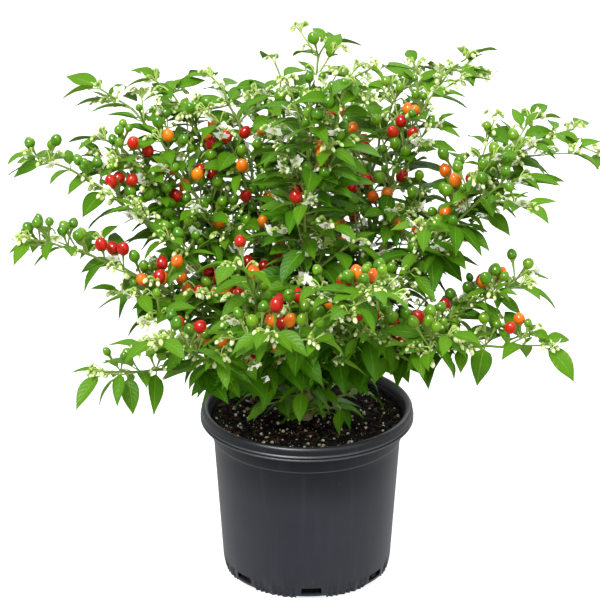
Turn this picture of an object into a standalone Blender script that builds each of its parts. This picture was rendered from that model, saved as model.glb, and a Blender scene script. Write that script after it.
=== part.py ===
"""Potted chilli pepper plant: a moulded nursery pot, potting mix and a bushy plant with upright berries.

Metres, +Z up. The origin is the centre of the pot's underside, on the ground, and -Y is the front.
The plant grows from one plan: a short main stem, twelve limbs, and on each limb a leading shoot and a
side shoot with twigs, leaves, berries and flowers.
"""

import math
import random
from collections import namedtuple

import bmesh
import bpy
from mathutils import Matrix, Vector
from mathutils.bvhtree import BVHTree

UP = Vector((0, 0, 1))
GAP = 0.0003  # what separates two pieces that touch on the real plant

# Pot: a 165 mm moulded nursery pot.
POT_HEIGHT = 0.136
RIM_RADIUS = 0.0825
COLLAR_RADIUS = 0.0750
COLLAR_BOTTOM = 0.1125
BODY_TOP_RADIUS = 0.0724
BODY_BASE_RADIUS = 0.0658
FOOT_RADIUS = 0.0640
FOOT_INNER_RADIUS = 0.0520
FOOT_HEIGHT = 0.0025
HUB_RADIUS = 0.0140
FOOT_SLANT = 0.0020  # how far the sides of the foot ring and of the hub lean
WALL = 0.0015
POT_SEGMENTS = 35
SLOT_COUNT = 7
SLOT_HEADING = 273.0
SLOT_WIDTH = 0.0155
SLOT_BOTTOM = 0.0042
SLOT_TOP = 0.0098
NOTCH_WIDTH = 0.0240
NOTCH_HEIGHT = 0.0023

# Potting mix.
SOIL_EDGE_HEIGHT = 0.1268
SOIL_CENTRE_HEIGHT = 0.1235
SOIL_RECESS = 0.0060  # how far the mix stands back from the slots
SOIL_SLACK = 0.0012  # between the mix and the wall, more than the wall's own taper needs
WELL_DEPTH = 0.0220
WELL_SLACK = 0.0008

# Main stem: radius at each height.
STEM_BOTTOM = SOIL_CENTRE_HEIGHT - WELL_DEPTH + GAP
STEM_TOP = 0.196
STEM_BASE_RADIUS = 0.0050
STEM_TOP_RADIUS = 0.0034

# Shoots.
NODE_SPACING = 0.0155
ZIGZAG = 0.0011
WOOD_SHARE = 0.40
LIMB_RADIUS = 0.0023
FORK_RADIUS = 0.0016
SIDE_RADIUS = 0.0014
TWIG_RADIUS = 0.0010
TIP_RADIUS = 0.0007
TWIG_LENGTH = 0.064
TWIG_LOSS = 0.0045  # how much shorter the twigs get from one node to the next
TWIG_EVERY = 4  # nodes
SEAT_BACK = 0.005  # how far below the fork a side shoot leaves

# Berries, buds and flowers.
BERRY_RADIUS = 0.0050
BERRY_STALK = (0.013, 0.019)
BERRIES_PER_CLUSTER = 3
BERRY_NODE = 5
BERRY_SEAT_BACK = 0.010
BUD_RADIUS = 0.0020
BUD_LENGTH = 0.0048
BUD_STALK = 0.007
FLOWER_STALK = 0.013
PETAL_REACH = 0.0056

# Leaves.
LEAF_THICKNESS = 0.0008
LEAF_WIDTH_SHARE = 0.5
SHOOT_LEAF = 0.038
SHOOT_LEAF_LOSS = 0.0015
LEAF_EVERY = 3  # nodes
TWIG_LEAF = 0.032
TIP_LEAF = 0.026
LEAF_TRIES = (
    # turn in degrees, extra droop, share of full size
    (0, 0.0, 1.0),
    (25, 0.0, 1.0),
    (-25, 0.2, 1.0),
    (50, 0.3, 0.85),
    (-50, -0.3, 0.85),
    (90, 0.0, 0.7),
)
Shoot = namedtuple("Shoot", "name axis pieces rng")

# Each limb: the height at which it leaves the main stem, then the heading in degrees (0 right, 90 back),
# reach and height of the tips of its leading and side shoots. Its berries ripen from green through orange
# to red. They stand at its fork, or further out on its leading shoot.
Limb = namedtuple("Limb", "height lead side ripeness berries_at flowering")
LIMBS = (
    Limb(0.170, (171, 0.211, 0.328), (160, 0.164, 0.332), "green", "shoot", True),
    Limb(0.158, (189, 0.208, 0.285), (201, 0.135, 0.247), "red", "fork", True),
    Limb(0.146, (212, 0.176, 0.204), (228, 0.160, 0.240), "orange", "shoot", True),
    Limb(0.180, (150, 0.184, 0.361), (138, 0.157, 0.363), "green", "shoot", True),
    Limb(0.190, (122, 0.140, 0.362), (104, 0.102, 0.380), "red", "fork", False),
    Limb(STEM_TOP, (72, 0.044, 0.413), (350, 0.047, 0.410), "green", "fork", True),
    Limb(0.186, (43, 0.169, 0.378), (60, 0.163, 0.355), "orange", "shoot", True),
    Limb(0.172, (6, 0.201, 0.353), (350, 0.158, 0.330), "red", "shoot", True),
    Limb(0.154, (333, 0.193, 0.223), (346, 0.163, 0.250), "green", "shoot", True),
    Limb(0.150, (258, 0.136, 0.252), (240, 0.106, 0.288), "orange", "fork", False),
    Limb(0.162, (288, 0.152, 0.288), (312, 0.152, 0.242), "red", "fork", False),
    Limb(0.166, (92, 0.180, 0.292), (74, 0.170, 0.316), "red", "fork", False),
)


# ---------------------------------------------------------------- growth plan


def heading_vector(heading, rise=0.0):
    """The unit vector at a heading and a rise above the horizon, both in degrees."""
    h, r = math.radians(heading), math.radians(rise)
    return Vector((math.cos(h) * math.cos(r), math.sin(h) * math.cos(r), math.sin(r)))


def bezier(p0, p1, p2, p3, t):
    s = 1 - t
    return p0 * s**3 + p1 * (3 * s * s * t) + p2 * (3 * s * t * t) + p3 * t**3


def spaced_nodes(p0, p1, p2, p3, spacing=NODE_SPACING):
    """Points at even distances along a Bezier curve: the nodes of a shoot."""
    fine = [bezier(p0, p1, p2, p3, i / 200) for i in range(201)]
    travelled = [0.0]
    for a, b in zip(fine, fine[1:]):
        travelled.append(travelled[-1] + (b - a).length)
    count = max(3, round(travelled[-1] / spacing))
    nodes = []
    for k in range(count + 1):
        goal = travelled[-1] * k / count
        i = min(range(201), key=lambda j: abs(travelled[j] - goal))
        nodes.append(fine[i])
    return nodes


def sideways(tangent):
    """The horizontal direction across a shoot."""
    across = tangent.cross(UP)
    if across.length < 0.2:
        across = Vector((1, 0, 0)) - tangent * tangent.x
    return across.normalized()


def tangent_at(nodes, i):
    a, b = nodes[max(0, i - 1)], nodes[min(len(nodes) - 1, i + 1)]
    return (b - a).normalized()


def zigzag(nodes, first):
    """Bends a shoot a little at each node from number first on, left and right in turn."""
    bent = []
    for i, p in enumerate(nodes):
        turn = 0 if i < first or i == len(nodes) - 1 else (1 if i % 2 else -1)
        bent.append(p + sideways(tangent_at(nodes, i)) * turn * ZIGZAG)
    return bent


def stem_radius(z):
    share = (z - STEM_BOTTOM) / (STEM_TOP - STEM_BOTTOM)
    return STEM_BASE_RADIUS + (STEM_TOP_RADIUS - STEM_BASE_RADIUS) * share


def tip_point(tip):
    heading, reach, height = tip
    return heading_vector(heading) * reach + UP * height


def limb_nodes(limb):
    """All nodes of a limb and its leading shoot, and the number of the node where the limb forks."""
    lead, height = limb.lead, limb.height
    tip = tip_point(lead)
    if height >= STEM_TOP:
        start = UP * (STEM_TOP + GAP)
        launch = start + UP * 0.06
    else:
        out = heading_vector(lead[0])
        start = out * (stem_radius(height) + GAP) + UP * height
        launch = start + heading_vector(lead[0], 38) * (tip - start).length * 0.42
    arrive = tip - heading_vector(lead[0], 14) * (tip - start).length * 0.30
    nodes = spaced_nodes(start, launch, arrive, tip)
    fork = round(WOOD_SHARE * (len(nodes) - 1))
    return zigzag(nodes, fork), fork


def side_nodes(limb, nodes, fork):
    """The nodes of the side shoot, which leaves the limb just below the fork."""
    tip = tip_point(limb.side)
    along = (nodes[fork] - nodes[fork - 1]).normalized()
    seat = nodes[fork] - along * SEAT_BACK
    across = sideways(along)
    if across.dot(tip - seat) < 0:
        across = -across
    start = seat + across * (FORK_RADIUS + GAP)
    launch = start + (across + along).normalized() * (tip - start).length * 0.34
    arrive = tip - heading_vector(limb.side[0], 16) * (tip - start).length * 0.30
    nodes = spaced_nodes(start, launch, arrive, tip)
    return zigzag([start, start + across * 0.002] + nodes[1:], 2)


def twig_nodes(nodes, i, sign, rng):
    """A short twig that leaves a shoot at node i, to the left or the right."""
    along = tangent_at(nodes, i)
    length = (TWIG_LENGTH - TWIG_LOSS * i) * rng.uniform(0.85, 1.1)
    heading = (along * 0.75 + sideways(along) * sign * 0.75 + UP * rng.uniform(0.0, 0.45)).normalized()
    start = nodes[i]
    tip = start + heading * length
    bow = UP * length * 0.10
    return spaced_nodes(start, start + heading * length * 0.3, tip - heading * length * 0.3 + bow, tip + bow)


def leaf_heading(along, sign, rng, droop=0.42):
    """A leaf points outward from its shoot, forward and down."""
    across = sideways(along) * sign
    flat = along * rng.uniform(0.35, 0.75) + across * rng.uniform(0.6, 0.9)
    return (flat.normalized() - UP * droop * rng.uniform(0.4, 1.5)).normalized()


# ---------------------------------------------------------------- workshop helpers


def clear_scene():
    for ob in list(bpy.data.objects):
        bpy.data.objects.remove(ob, do_unlink=True)


def new_collection(name):
    collection = bpy.data.collections.new(name)
    bpy.context.scene.collection.children.link(collection)
    return collection


def material(name, colour, roughness, metallic=0.0):
    mat = bpy.data.materials.new(name)
    mat.use_nodes = True
    shader = mat.node_tree.nodes["Principled BSDF"]
    shader.inputs["Base Color"].default_value = (*colour, 1)
    shader.inputs["Roughness"].default_value = roughness
    shader.inputs["Metallic"].default_value = metallic
    return mat


def smooth(mesh, angle=40):
    mesh.shade_smooth()
    mesh.set_sharp_from_angle(angle=math.radians(angle))


def new_object(name, mesh, collection):
    ob = bpy.data.objects.new(name, mesh)
    collection.objects.link(ob)
    return ob


def baked(ob, collection):
    """A plain mesh object with the shape that ob has under its modifiers. ob is removed."""
    bpy.context.view_layer.update()
    name = ob.name
    mesh = bpy.data.meshes.new_from_object(ob.evaluated_get(bpy.context.evaluated_depsgraph_get()))
    mesh.transform(ob.matrix_world)
    bpy.data.objects.remove(ob, do_unlink=True)
    return new_object(name, mesh, collection)


def mesh_from(bm, name):
    mesh = bpy.data.meshes.new(name)
    bm.to_mesh(mesh)
    bm.free()
    return mesh


def weld(mesh, distance=1e-6):
    bm = bmesh.new()
    bm.from_mesh(mesh)
    bmesh.ops.remove_doubles(bm, verts=bm.verts, dist=distance)
    bmesh.ops.triangulate(bm, faces=bm.faces)
    bm.to_mesh(mesh)
    bm.free()


def tidy(mesh):
    """Drops points that a union left on straight edges, then makes triangles again."""
    bm = bmesh.new()
    bm.from_mesh(mesh)
    bmesh.ops.remove_doubles(bm, verts=bm.verts, dist=0.000002)
    bmesh.ops.dissolve_limit(bm, angle_limit=math.radians(0.3), verts=bm.verts, edges=bm.edges)
    bmesh.ops.triangulate(bm, faces=bm.faces)
    bm.to_mesh(mesh)
    bm.free()


def tube(name, points, radii, resolution=1):
    """A closed tube through points: a curve with a round bevel and filled caps, made into a mesh."""
    curve = bpy.data.curves.new(name, "CURVE")
    curve.dimensions = "3D"
    curve.twist_mode = "MINIMUM"
    curve.bevel_depth = 1.0
    curve.bevel_resolution = resolution
    curve.use_fill_caps = True
    spline = curve.splines.new("POLY")
    spline.points.add(len(points) - 1)
    for point, place, radius in zip(spline.points, points, radii):
        point.co = (*place, 1)
        point.radius = radius
    ob = baked(new_object(name, curve, BENCH), BENCH)
    weld(ob.data)
    return ob


def taper(count, first, last):
    return [first + (last - first) * i / (count - 1) for i in range(count)]


def revolved(name, profile, segments, collection):
    """A turned piece: a profile of (radius, height) points about Z, outer side first."""
    mesh = bpy.data.meshes.new(name)
    points = [(r, 0, z) for r, z in profile]
    edges = [(i, i + 1) for i in range(len(points) - 1)]
    if profile[0][0] > 0:
        edges.append((len(points) - 1, 0))
    mesh.from_pydata(points, edges, [])
    ob = new_object(name, mesh, collection)
    screw = ob.modifiers.new("Turn", "SCREW")
    screw.steps = segments
    screw.render_steps = segments
    screw.use_merge_vertices = True
    screw.merge_threshold = 0.00001
    return ob


def joined(first, rest, solver):
    """A new object with the union of first and rest, which stay as they are."""
    ob = new_object(first.name, first.data.copy(), BENCH)
    for piece in rest:
        union = ob.modifiers.new("Join", "BOOLEAN")
        union.operation = "UNION"
        union.solver = solver
        union.object = piece
    ob = baked(ob, PLANT)
    tidy(ob.data)
    return ob


def is_closed(mesh):
    bm = bmesh.new()
    bm.from_mesh(mesh)
    closed = all(edge.is_manifold for edge in bm.edges)
    bm.free()
    return closed


def fused(name, pieces):
    """One closed body from pieces that overlap. The manifold solver steps in where the exact one fails."""
    ob = joined(pieces[0], pieces[1:], "EXACT")
    if not is_closed(ob.data):
        bpy.data.objects.remove(ob, do_unlink=True)
        ob = joined(pieces[0], pieces[1:], "MANIFOLD")
    for piece in pieces:
        bpy.data.objects.remove(piece, do_unlink=True)
    ob.name = name
    return ob


# ---------------------------------------------------------------- clearance


class Clearance:
    """Remembers where each piece lies, so that a new one can be tried before it is kept."""

    def __init__(self):
        self.kept = []

    @staticmethod
    def tree(ob, swell=0.0):
        bm = bmesh.new()
        bm.from_mesh(ob.data)
        bmesh.ops.recalc_face_normals(bm, faces=bm.faces)
        for v in bm.verts:
            v.co += v.normal * swell
        low = Vector([min(v.co[k] for v in bm.verts) for k in range(3)])
        high = Vector([max(v.co[k] for v in bm.verts) for k in range(3)])
        found = BVHTree.FromBMesh(bm)
        bm.free()
        return low, high, found

    def keep(self, ob):
        self.kept.append((ob.name, self.tree(ob)))

    def fits(self, ob, carrier=None, swell=GAP * 1.5):
        low, high, mine = self.tree(ob, swell)
        for name, (other_low, other_high, other) in self.kept:
            if name == carrier:
                continue
            if any(low[k] > other_high[k] or high[k] < other_low[k] for k in range(3)):
                continue
            if mine.overlap(other):
                return False
        return True


def overlap(a, b):
    return bool(SPACE.tree(a, GAP)[2].overlap(SPACE.tree(b)[2]))


# ---------------------------------------------------------------- pot and potting mix


def pot_profile():
    """The pot's section: the foot, up the inside of the wall, over the rolled rim and down the outside.

    The points of the rim's hook are steps in from its radius and down from its top.
    """

    def hook(inward, down):
        return RIM_RADIUS - inward, POT_HEIGHT - down

    inner = BODY_BASE_RADIUS - WALL
    return [
        (FOOT_RADIUS, 0.0),
        (FOOT_INNER_RADIUS, 0.0),
        (FOOT_INNER_RADIUS - FOOT_SLANT, FOOT_HEIGHT),
        (HUB_RADIUS + FOOT_SLANT, FOOT_HEIGHT),
        (HUB_RADIUS, 0.0),
        (0.0, 0.0),
        (0.0, FOOT_HEIGHT + WALL),
        (inner, FOOT_HEIGHT + WALL),
        (BODY_TOP_RADIUS - WALL, COLLAR_BOTTOM),
        (COLLAR_RADIUS - WALL, COLLAR_BOTTOM + 0.002),
        hook(0.0084, 0.0065),
        hook(0.0062, 0.0012),
        hook(0.0044, 0.0),
        hook(0.0016, 0.0004),
        hook(0.0, 0.0026),
        hook(0.0, 0.0085),
        hook(WALL, 0.0088),
        hook(WALL, 0.0036),
        hook(0.0032, 0.0022),
        hook(0.0066, 0.0078),
        (COLLAR_RADIUS, COLLAR_BOTTOM + 0.0016),
        (COLLAR_RADIUS - 0.0006, COLLAR_BOTTOM),
        (BODY_TOP_RADIUS, COLLAR_BOTTOM - 0.0008),
        (BODY_BASE_RADIUS, 0.0085),
    ]


def slot_cutter(name, heading, width, bottom, top):
    """A block through the wall at the pot's foot."""
    bpy.ops.mesh.primitive_cube_add(size=1)
    ob = bpy.context.object
    ob.name = name
    for owner in list(ob.users_collection):
        owner.objects.unlink(ob)
    BENCH.objects.link(ob)
    shape = Matrix.Diagonal((0.024, width, top - bottom, 1))
    place = Matrix.Translation((BODY_BASE_RADIUS - 0.001, 0, (top + bottom) / 2))
    ob.data.transform(Matrix.Rotation(math.radians(heading), 4, "Z") @ place @ shape)
    return ob


def slot_headings():
    return [SLOT_HEADING + 360 / SLOT_COUNT * k for k in range(SLOT_COUNT)]


def build_pot():
    profile = pot_profile()
    ob = baked(revolved("nursery_pot", list(reversed(profile)), POT_SEGMENTS, BENCH), BENCH)
    weld(ob.data, 0.00001)
    cutters = []
    for k, heading in enumerate(slot_headings()):
        cutters.append(slot_cutter(f"slot_{k}", heading, SLOT_WIDTH, SLOT_BOTTOM, SLOT_TOP))
        cutters.append(slot_cutter(f"notch_{k}", heading, NOTCH_WIDTH, -0.004, NOTCH_HEIGHT))
    for cutter in cutters:
        cut = ob.modifiers.new("Cut", "BOOLEAN")
        cut.operation = "DIFFERENCE"
        cut.object = cutter
    pot = baked(ob, PLANT)
    for cutter in cutters:
        bpy.data.objects.remove(cutter, do_unlink=True)
    finish(pot, MATERIALS["pot_plastic"], 30)
    SPACE.keep(pot)


def build_soil():
    """Potting mix: it fills the pot, stands back from the slots and has a well for the main stem."""
    floor = FOOT_HEIGHT + WALL + GAP
    wall = BODY_BASE_RADIUS - WALL - SOIL_SLACK
    collar = COLLAR_RADIUS - WALL - SOIL_SLACK
    well = stem_radius(SOIL_CENTRE_HEIGHT) + WELL_SLACK
    profile = [
        (0.0, SOIL_CENTRE_HEIGHT - WELL_DEPTH),
        (well, SOIL_CENTRE_HEIGHT - WELL_DEPTH),
        (well, SOIL_CENTRE_HEIGHT),
        (0.045, SOIL_CENTRE_HEIGHT + 0.0006),
        (0.064, SOIL_CENTRE_HEIGHT + 0.0018),
        (collar, SOIL_EDGE_HEIGHT),
        (collar - GAP, COLLAR_BOTTOM + 0.0030),
        (BODY_TOP_RADIUS - WALL - SOIL_SLACK, COLLAR_BOTTOM - 0.0010),
        (wall, 0.0150),
        (wall + SOIL_SLACK / 2 - SOIL_RECESS, 0.0105),
        (wall + SOIL_SLACK / 2 - SOIL_RECESS, floor),
        (0.0, floor),
    ]
    ob = baked(revolved("potting_mix", profile, POT_SEGMENTS, BENCH), PLANT)
    weld(ob.data, 0.00001)
    finish(ob, MATERIALS["potting_mix"], 30)
    SPACE.keep(ob)


# ---------------------------------------------------------------- plant pieces


def finish(ob, mat, angle=40):
    ob.data.materials.clear()
    ob.data.materials.append(mat)
    smooth(ob.data, angle)


def build_main_stem():
    heights = (STEM_BOTTOM, SOIL_CENTRE_HEIGHT, 0.150, 0.175, STEM_TOP)
    ob = tube("main_stem", [UP * z for z in heights], [stem_radius(z) for z in heights], 4)
    finish_as(ob, MATERIALS["bark"])


def finish_as(ob, mat):
    """Moves a finished piece from the bench to the plant."""
    BENCH.objects.unlink(ob)
    PLANT.objects.link(ob)
    finish(ob, mat)
    SPACE.keep(ob)


def solid_sheet(bm, name, thickness):
    """A thin closed body from an open surface."""
    bmesh.ops.recalc_face_normals(bm, faces=bm.faces)
    ob = new_object(name, mesh_from(bm, name), BENCH)
    solidify = ob.modifiers.new("Thickness", "SOLIDIFY")
    solidify.thickness = thickness
    solidify.offset = 0
    ob = baked(ob, BENCH)
    weld(ob.data)
    return ob


def leaf(base, heading, length, width):
    """A pointed leaf folded along its midrib, with its stalk end at base."""
    across = sideways(heading) * width / 2
    face_up = sideways(heading).cross(heading).normalized()
    belly = base + heading * length * 0.42
    fold = face_up * width * 0.14
    tip = base + heading * length - UP * length * 0.12
    bm = bmesh.new()
    stalk, left, middle, right, point = [
        bm.verts.new(place) for place in (base, belly - across + fold, belly, belly + across + fold, tip)
    ]
    for near, far in ((stalk, left), (right, stalk), (left, point), (point, right)):
        bm.faces.new((near, middle, far))
    return solid_sheet(bm, "leaf", LEAF_THICKNESS)


def swelling(name, base, heading, stalk, radius, length, resolution=1):
    """A berry or bud on its stalk: one tube that swells into an egg."""
    profile = [(0.0, 0.0006), (stalk * 0.8, 0.0007), (stalk, 0.0016)]
    for angle in (-45, 0, 45, 78):
        a = math.radians(angle)
        profile.append((stalk + length / 2 * (1 + math.sin(a)), radius * math.cos(a)))
    points = [base + heading * distance for distance, _ in profile]
    return tube(name, points, [r for _, r in profile], resolution)


def star_flower(centre, facing, size):
    """A flower's five petals: a shallow star-shaped funnel."""
    across = sideways(facing)
    up = across.cross(facing).normalized()
    bm = bmesh.new()
    heart = bm.verts.new(centre)
    ring = []
    for k in range(10):
        angle = math.pi * k / 5
        reach = size if k % 2 == 0 else size * 0.45
        spoke = across * math.cos(angle) + up * math.sin(angle)
        ring.append(bm.verts.new(centre + spoke * reach + facing * reach * 0.25))
    for a, b in zip(ring, ring[1:] + ring[:1]):
        bm.faces.new((heart, a, b))
    return solid_sheet(bm, "star", LEAF_THICKNESS)


# ---------------------------------------------------------------- plant assembly


def build_limb(number, limb):
    """The bare limb and the axes of its two shoots. Returns those, and where and how its berries stand."""
    nodes, fork = limb_nodes(limb)
    from_top = limb.height >= STEM_TOP
    launch = UP if from_top else heading_vector(limb.lead[0])
    wood = [nodes[0], nodes[0] + launch * 0.0025] + nodes[1 : fork + 1]
    base = STEM_TOP_RADIUS * 0.9 if from_top else LIMB_RADIUS
    finish_as(tube(f"limb_{number:02d}", wood, taper(len(wood), base, FORK_RADIUS)), MATERIALS["green_wood"])
    along = (nodes[fork] - nodes[fork - 1]).normalized()
    lead = [nodes[fork] + along * GAP * 1.5, nodes[fork] + along * 0.003] + nodes[fork + 1 :]
    shoots = [
        start_shoot(f"leading_shoot_{number:02d}", lead, FORK_RADIUS, 100 + number),
        start_shoot(f"side_shoot_{number:02d}", side_nodes(limb, nodes, fork), SIDE_RADIUS, 200 + number),
    ]
    if limb.berries_at == "fork":
        return shoots, (nodes[fork] - along * BERRY_SEAT_BACK, along, FORK_RADIUS)
    i = min(BERRY_NODE, len(lead) - 3)
    radius = FORK_RADIUS + (TIP_RADIUS - FORK_RADIUS) * (i + 0.5) / (len(lead) - 1)
    return shoots, ((lead[i] + lead[i + 1]) / 2, (lead[i + 1] - lead[i]).normalized(), radius)


def start_shoot(name, axis, radius, seed):
    spine = tube(f"{name}_axis", axis, taper(len(axis), radius, TIP_RADIUS))
    SPACE.keep(spine)
    return Shoot(name, axis, [spine], random.Random(seed))


def keep_as(name, pieces):
    """Remembers the pieces under one name, so that they may touch each other."""
    for piece in pieces:
        SPACE.kept.append((name, SPACE.tree(piece)))


def build_berries(number, perch, along, radius, ripeness):
    """A cluster of upright berries on the upper side of a branch, leaning back from where it leads."""
    rng = random.Random(300 + number)
    name = f"berries_{number:02d}"
    up = sideways(along).cross(along).normalized()
    base = perch + up * (radius + GAP * 2)
    bend = base + up * 0.0025
    pieces = [tube(f"{name}_stem", [base, bend, bend + UP * 0.0075], [0.0013, 0.0013, 0.0011], 0)]
    inward = math.degrees(math.atan2(-along.y, -along.x))
    for k in range(BERRIES_PER_CLUSTER):
        heading = inward + (k - 1) * 85 + rng.uniform(-12, 12)
        foot = bend + UP * (0.0015 + 0.0022 * k)
        stalk = rng.uniform(*BERRY_STALK)
        for turn, spread in ((0, 0.65), (25, 0.5), (-25, 0.5), (50, 0.8), (-50, 0.8)):
            lean = (UP + heading_vector(heading + turn) * spread).normalized()
            made = swelling("berry", foot, lean, stalk, BERRY_RADIUS, BERRY_RADIUS * 2.3)
            if SPACE.fits(made) and not any(overlap(made, other) for other in pieces[1:]):
                pieces.append(made)
                break
            bpy.data.objects.remove(made, do_unlink=True)
    keep_as(name, pieces)
    return name, pieces, f"berry_{ripeness}"


def build_flowers(number, axis):
    """A flower between two buds at the end of a shoot."""
    rng = random.Random(400 + number)
    name = f"flowers_{number:02d}"
    along = (axis[-1] - axis[-2]).normalized()
    base = axis[-1] + along * GAP * 1.5
    pieces = [tube(f"{name}_stem", [base, base + along * 0.008], [0.0009, 0.0008], 0)]
    for k in (-1, 0, 1):
        out = (along + sideways(along) * k * 1.2 + UP * rng.uniform(0.5, 0.9)).normalized()
        foot = base + along * (0.0045 + 0.0015 * k)
        if k:
            pieces.append(swelling("bud", foot, out, BUD_STALK, BUD_RADIUS, BUD_LENGTH, 0))
        else:
            head = foot + out * FLOWER_STALK
            pieces.append(tube("stalk", [foot, head], [0.0006, 0.0008], 0))
            pieces.append(star_flower(head - out * 0.0002, out, PETAL_REACH))
    keep_as(name, pieces)
    return name, pieces, "petal"


def grow_twigs(shoot):
    """Side twigs along a shoot. Returns the spots for the leaves of the shoot and of its twigs."""
    axis, spine = shoot.axis, shoot.pieces[0]
    spots = []
    for i in range(3, len(axis) - 2, TWIG_EVERY):
        sign = 1 if (i // TWIG_EVERY) % 2 else -1
        nodes = twig_nodes(axis, i, sign, shoot.rng)
        route = [nodes[0], nodes[len(nodes) // 2], nodes[-1]]
        twig = tube(f"{shoot.name}_twig_{i}", route, taper(3, TWIG_RADIUS, TIP_RADIUS), 0)
        if not SPACE.fits(twig, spine.name):
            bpy.data.objects.remove(twig, do_unlink=True)
            continue
        SPACE.keep(twig)
        shoot.pieces.append(twig)
        along = (route[2] - route[1]).normalized()
        for share, side in ((0.45, -sign), (0.92, sign)):
            spots.append((route[1].lerp(route[2], share), along, side, TWIG_LEAF, twig.name))
    for i in range(2, len(axis) - 1, LEAF_EVERY):
        sign = 1 if (i // LEAF_EVERY) % 2 else -1
        spots.append((axis[i], tangent_at(axis, i), sign, SHOOT_LEAF - SHOOT_LEAF_LOSS * i, spine.name))
    end = axis[-1].lerp(axis[-2], 0.1)
    spots.append((end, tangent_at(axis, len(axis) - 1), 1, TIP_LEAF, spine.name))
    return spots


def grow_leaves(shoot, spots):
    """Gives each spot the first leaf that clears everything else: as planned, then turned or smaller."""
    for base, along, sign, size, carrier in spots:
        planned = leaf_heading(along, sign, shoot.rng)
        length = size * shoot.rng.uniform(0.9, 1.1)
        for turn, drop, share in LEAF_TRIES:
            heading = Matrix.Rotation(math.radians(turn), 3, "Z") @ planned
            heading = (heading - UP * drop).normalized()
            blade = leaf(base, heading, length * share, length * share * LEAF_WIDTH_SHARE)
            if SPACE.fits(blade, carrier):
                SPACE.keep(blade)
                shoot.pieces.append(blade)
                break
            bpy.data.objects.remove(blade, do_unlink=True)


def build_plant():
    build_main_stem()
    shoots, perches, groups = [], [], []
    for number, limb in enumerate(LIMBS, 1):
        pair, perch = build_limb(number, limb)
        shoots += pair
        perches.append(perch)
    for number, (limb, perch) in enumerate(zip(LIMBS, perches), 1):
        groups.append(build_berries(number, *perch, limb.ripeness))
        if limb.flowering:
            groups.append(build_flowers(number, shoots[2 * number - 2].axis))
    leaf_spots = [grow_twigs(shoot) for shoot in shoots]
    for shoot, spots in zip(shoots, leaf_spots):
        grow_leaves(shoot, spots)
    for shoot in shoots:
        finish(fused(shoot.name, shoot.pieces), MATERIALS["leaf"])
    for name, pieces, finish_name in groups:
        finish(fused(name, pieces), MATERIALS[finish_name])


clear_scene()
PLANT = new_collection("potted_chilli_pepper_plant")
BENCH = new_collection("bench")
SPACE = Clearance()
MATERIALS = {
    "pot_plastic": material("pot_plastic", (0.045, 0.048, 0.055), 0.42),
    "potting_mix": material("potting_mix", (0.035, 0.022, 0.015), 0.95),
    "bark": material("bark", (0.30, 0.26, 0.13), 0.75),
    "green_wood": material("green_wood", (0.16, 0.22, 0.06), 0.60),
    "leaf": material("leaf", (0.06, 0.20, 0.03), 0.45),
    "berry_green": material("berry_green", (0.05, 0.22, 0.03), 0.20),
    "berry_orange": material("berry_orange", (0.80, 0.22, 0.02), 0.20),
    "berry_red": material("berry_red", (0.60, 0.02, 0.01), 0.18),
    "petal": material("petal", (0.80, 0.82, 0.74), 0.50),
}
build_pot()
build_soil()
build_plant()
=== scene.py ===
# %% [markdown]
# # A potted chilli pepper plant
# The finished object is a bushy chilli plant in a moulded nursery pot. The frame loaded here is the
# solid model: it is exact but plain. Each step below builds one kind of piece, such as leaves or
# berries, in mesh code, and gives it a finish made of shader nodes. The pieces stand where the
# solid model says, because both follow the same growth plan.

# %% Load the frame
import math
import random
from collections import namedtuple
from functools import lru_cache

import bpy
import numpy as np
from mathutils import Matrix, Vector, noise


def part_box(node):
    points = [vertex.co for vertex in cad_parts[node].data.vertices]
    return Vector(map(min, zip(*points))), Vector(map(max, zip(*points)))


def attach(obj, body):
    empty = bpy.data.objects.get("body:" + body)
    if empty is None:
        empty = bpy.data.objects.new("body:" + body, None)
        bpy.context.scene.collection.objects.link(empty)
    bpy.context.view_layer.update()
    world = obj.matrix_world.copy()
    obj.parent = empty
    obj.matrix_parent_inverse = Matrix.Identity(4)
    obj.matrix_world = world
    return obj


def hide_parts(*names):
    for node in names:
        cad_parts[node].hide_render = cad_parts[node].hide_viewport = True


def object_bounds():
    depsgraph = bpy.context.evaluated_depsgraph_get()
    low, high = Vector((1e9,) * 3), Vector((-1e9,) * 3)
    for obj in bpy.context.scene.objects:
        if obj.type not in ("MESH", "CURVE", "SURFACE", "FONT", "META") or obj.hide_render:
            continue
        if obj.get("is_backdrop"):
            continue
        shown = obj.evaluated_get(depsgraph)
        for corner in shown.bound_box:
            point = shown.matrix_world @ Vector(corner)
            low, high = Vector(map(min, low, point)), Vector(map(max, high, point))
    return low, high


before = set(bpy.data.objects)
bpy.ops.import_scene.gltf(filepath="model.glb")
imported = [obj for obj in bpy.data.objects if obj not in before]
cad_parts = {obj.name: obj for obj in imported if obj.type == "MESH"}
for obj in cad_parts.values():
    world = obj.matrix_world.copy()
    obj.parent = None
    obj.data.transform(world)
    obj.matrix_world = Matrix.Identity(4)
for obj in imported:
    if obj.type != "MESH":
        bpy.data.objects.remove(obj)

UP = Vector((0, 0, 1))
CAD_LOW, CAD_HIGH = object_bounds()
print("frame nodes:", len(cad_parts), "box:", [round(v, 4) for v in (*CAD_LOW, *CAD_HIGH)])

# %% [markdown]
# ## Shader maths as plain arithmetic
# A leaf's veins or a berry's ripening are small formulas. In Blender a formula is a chain of Math
# nodes, which is slow to wire and hard to read. So a socket is wrapped in a small class whose
# operators add the nodes: `1 - rib * 0.5` is then a formula and a node chain at once. Colours go
# through Mix nodes, since a Math node would turn them grey.

# %% A socket that can be calculated with


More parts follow.
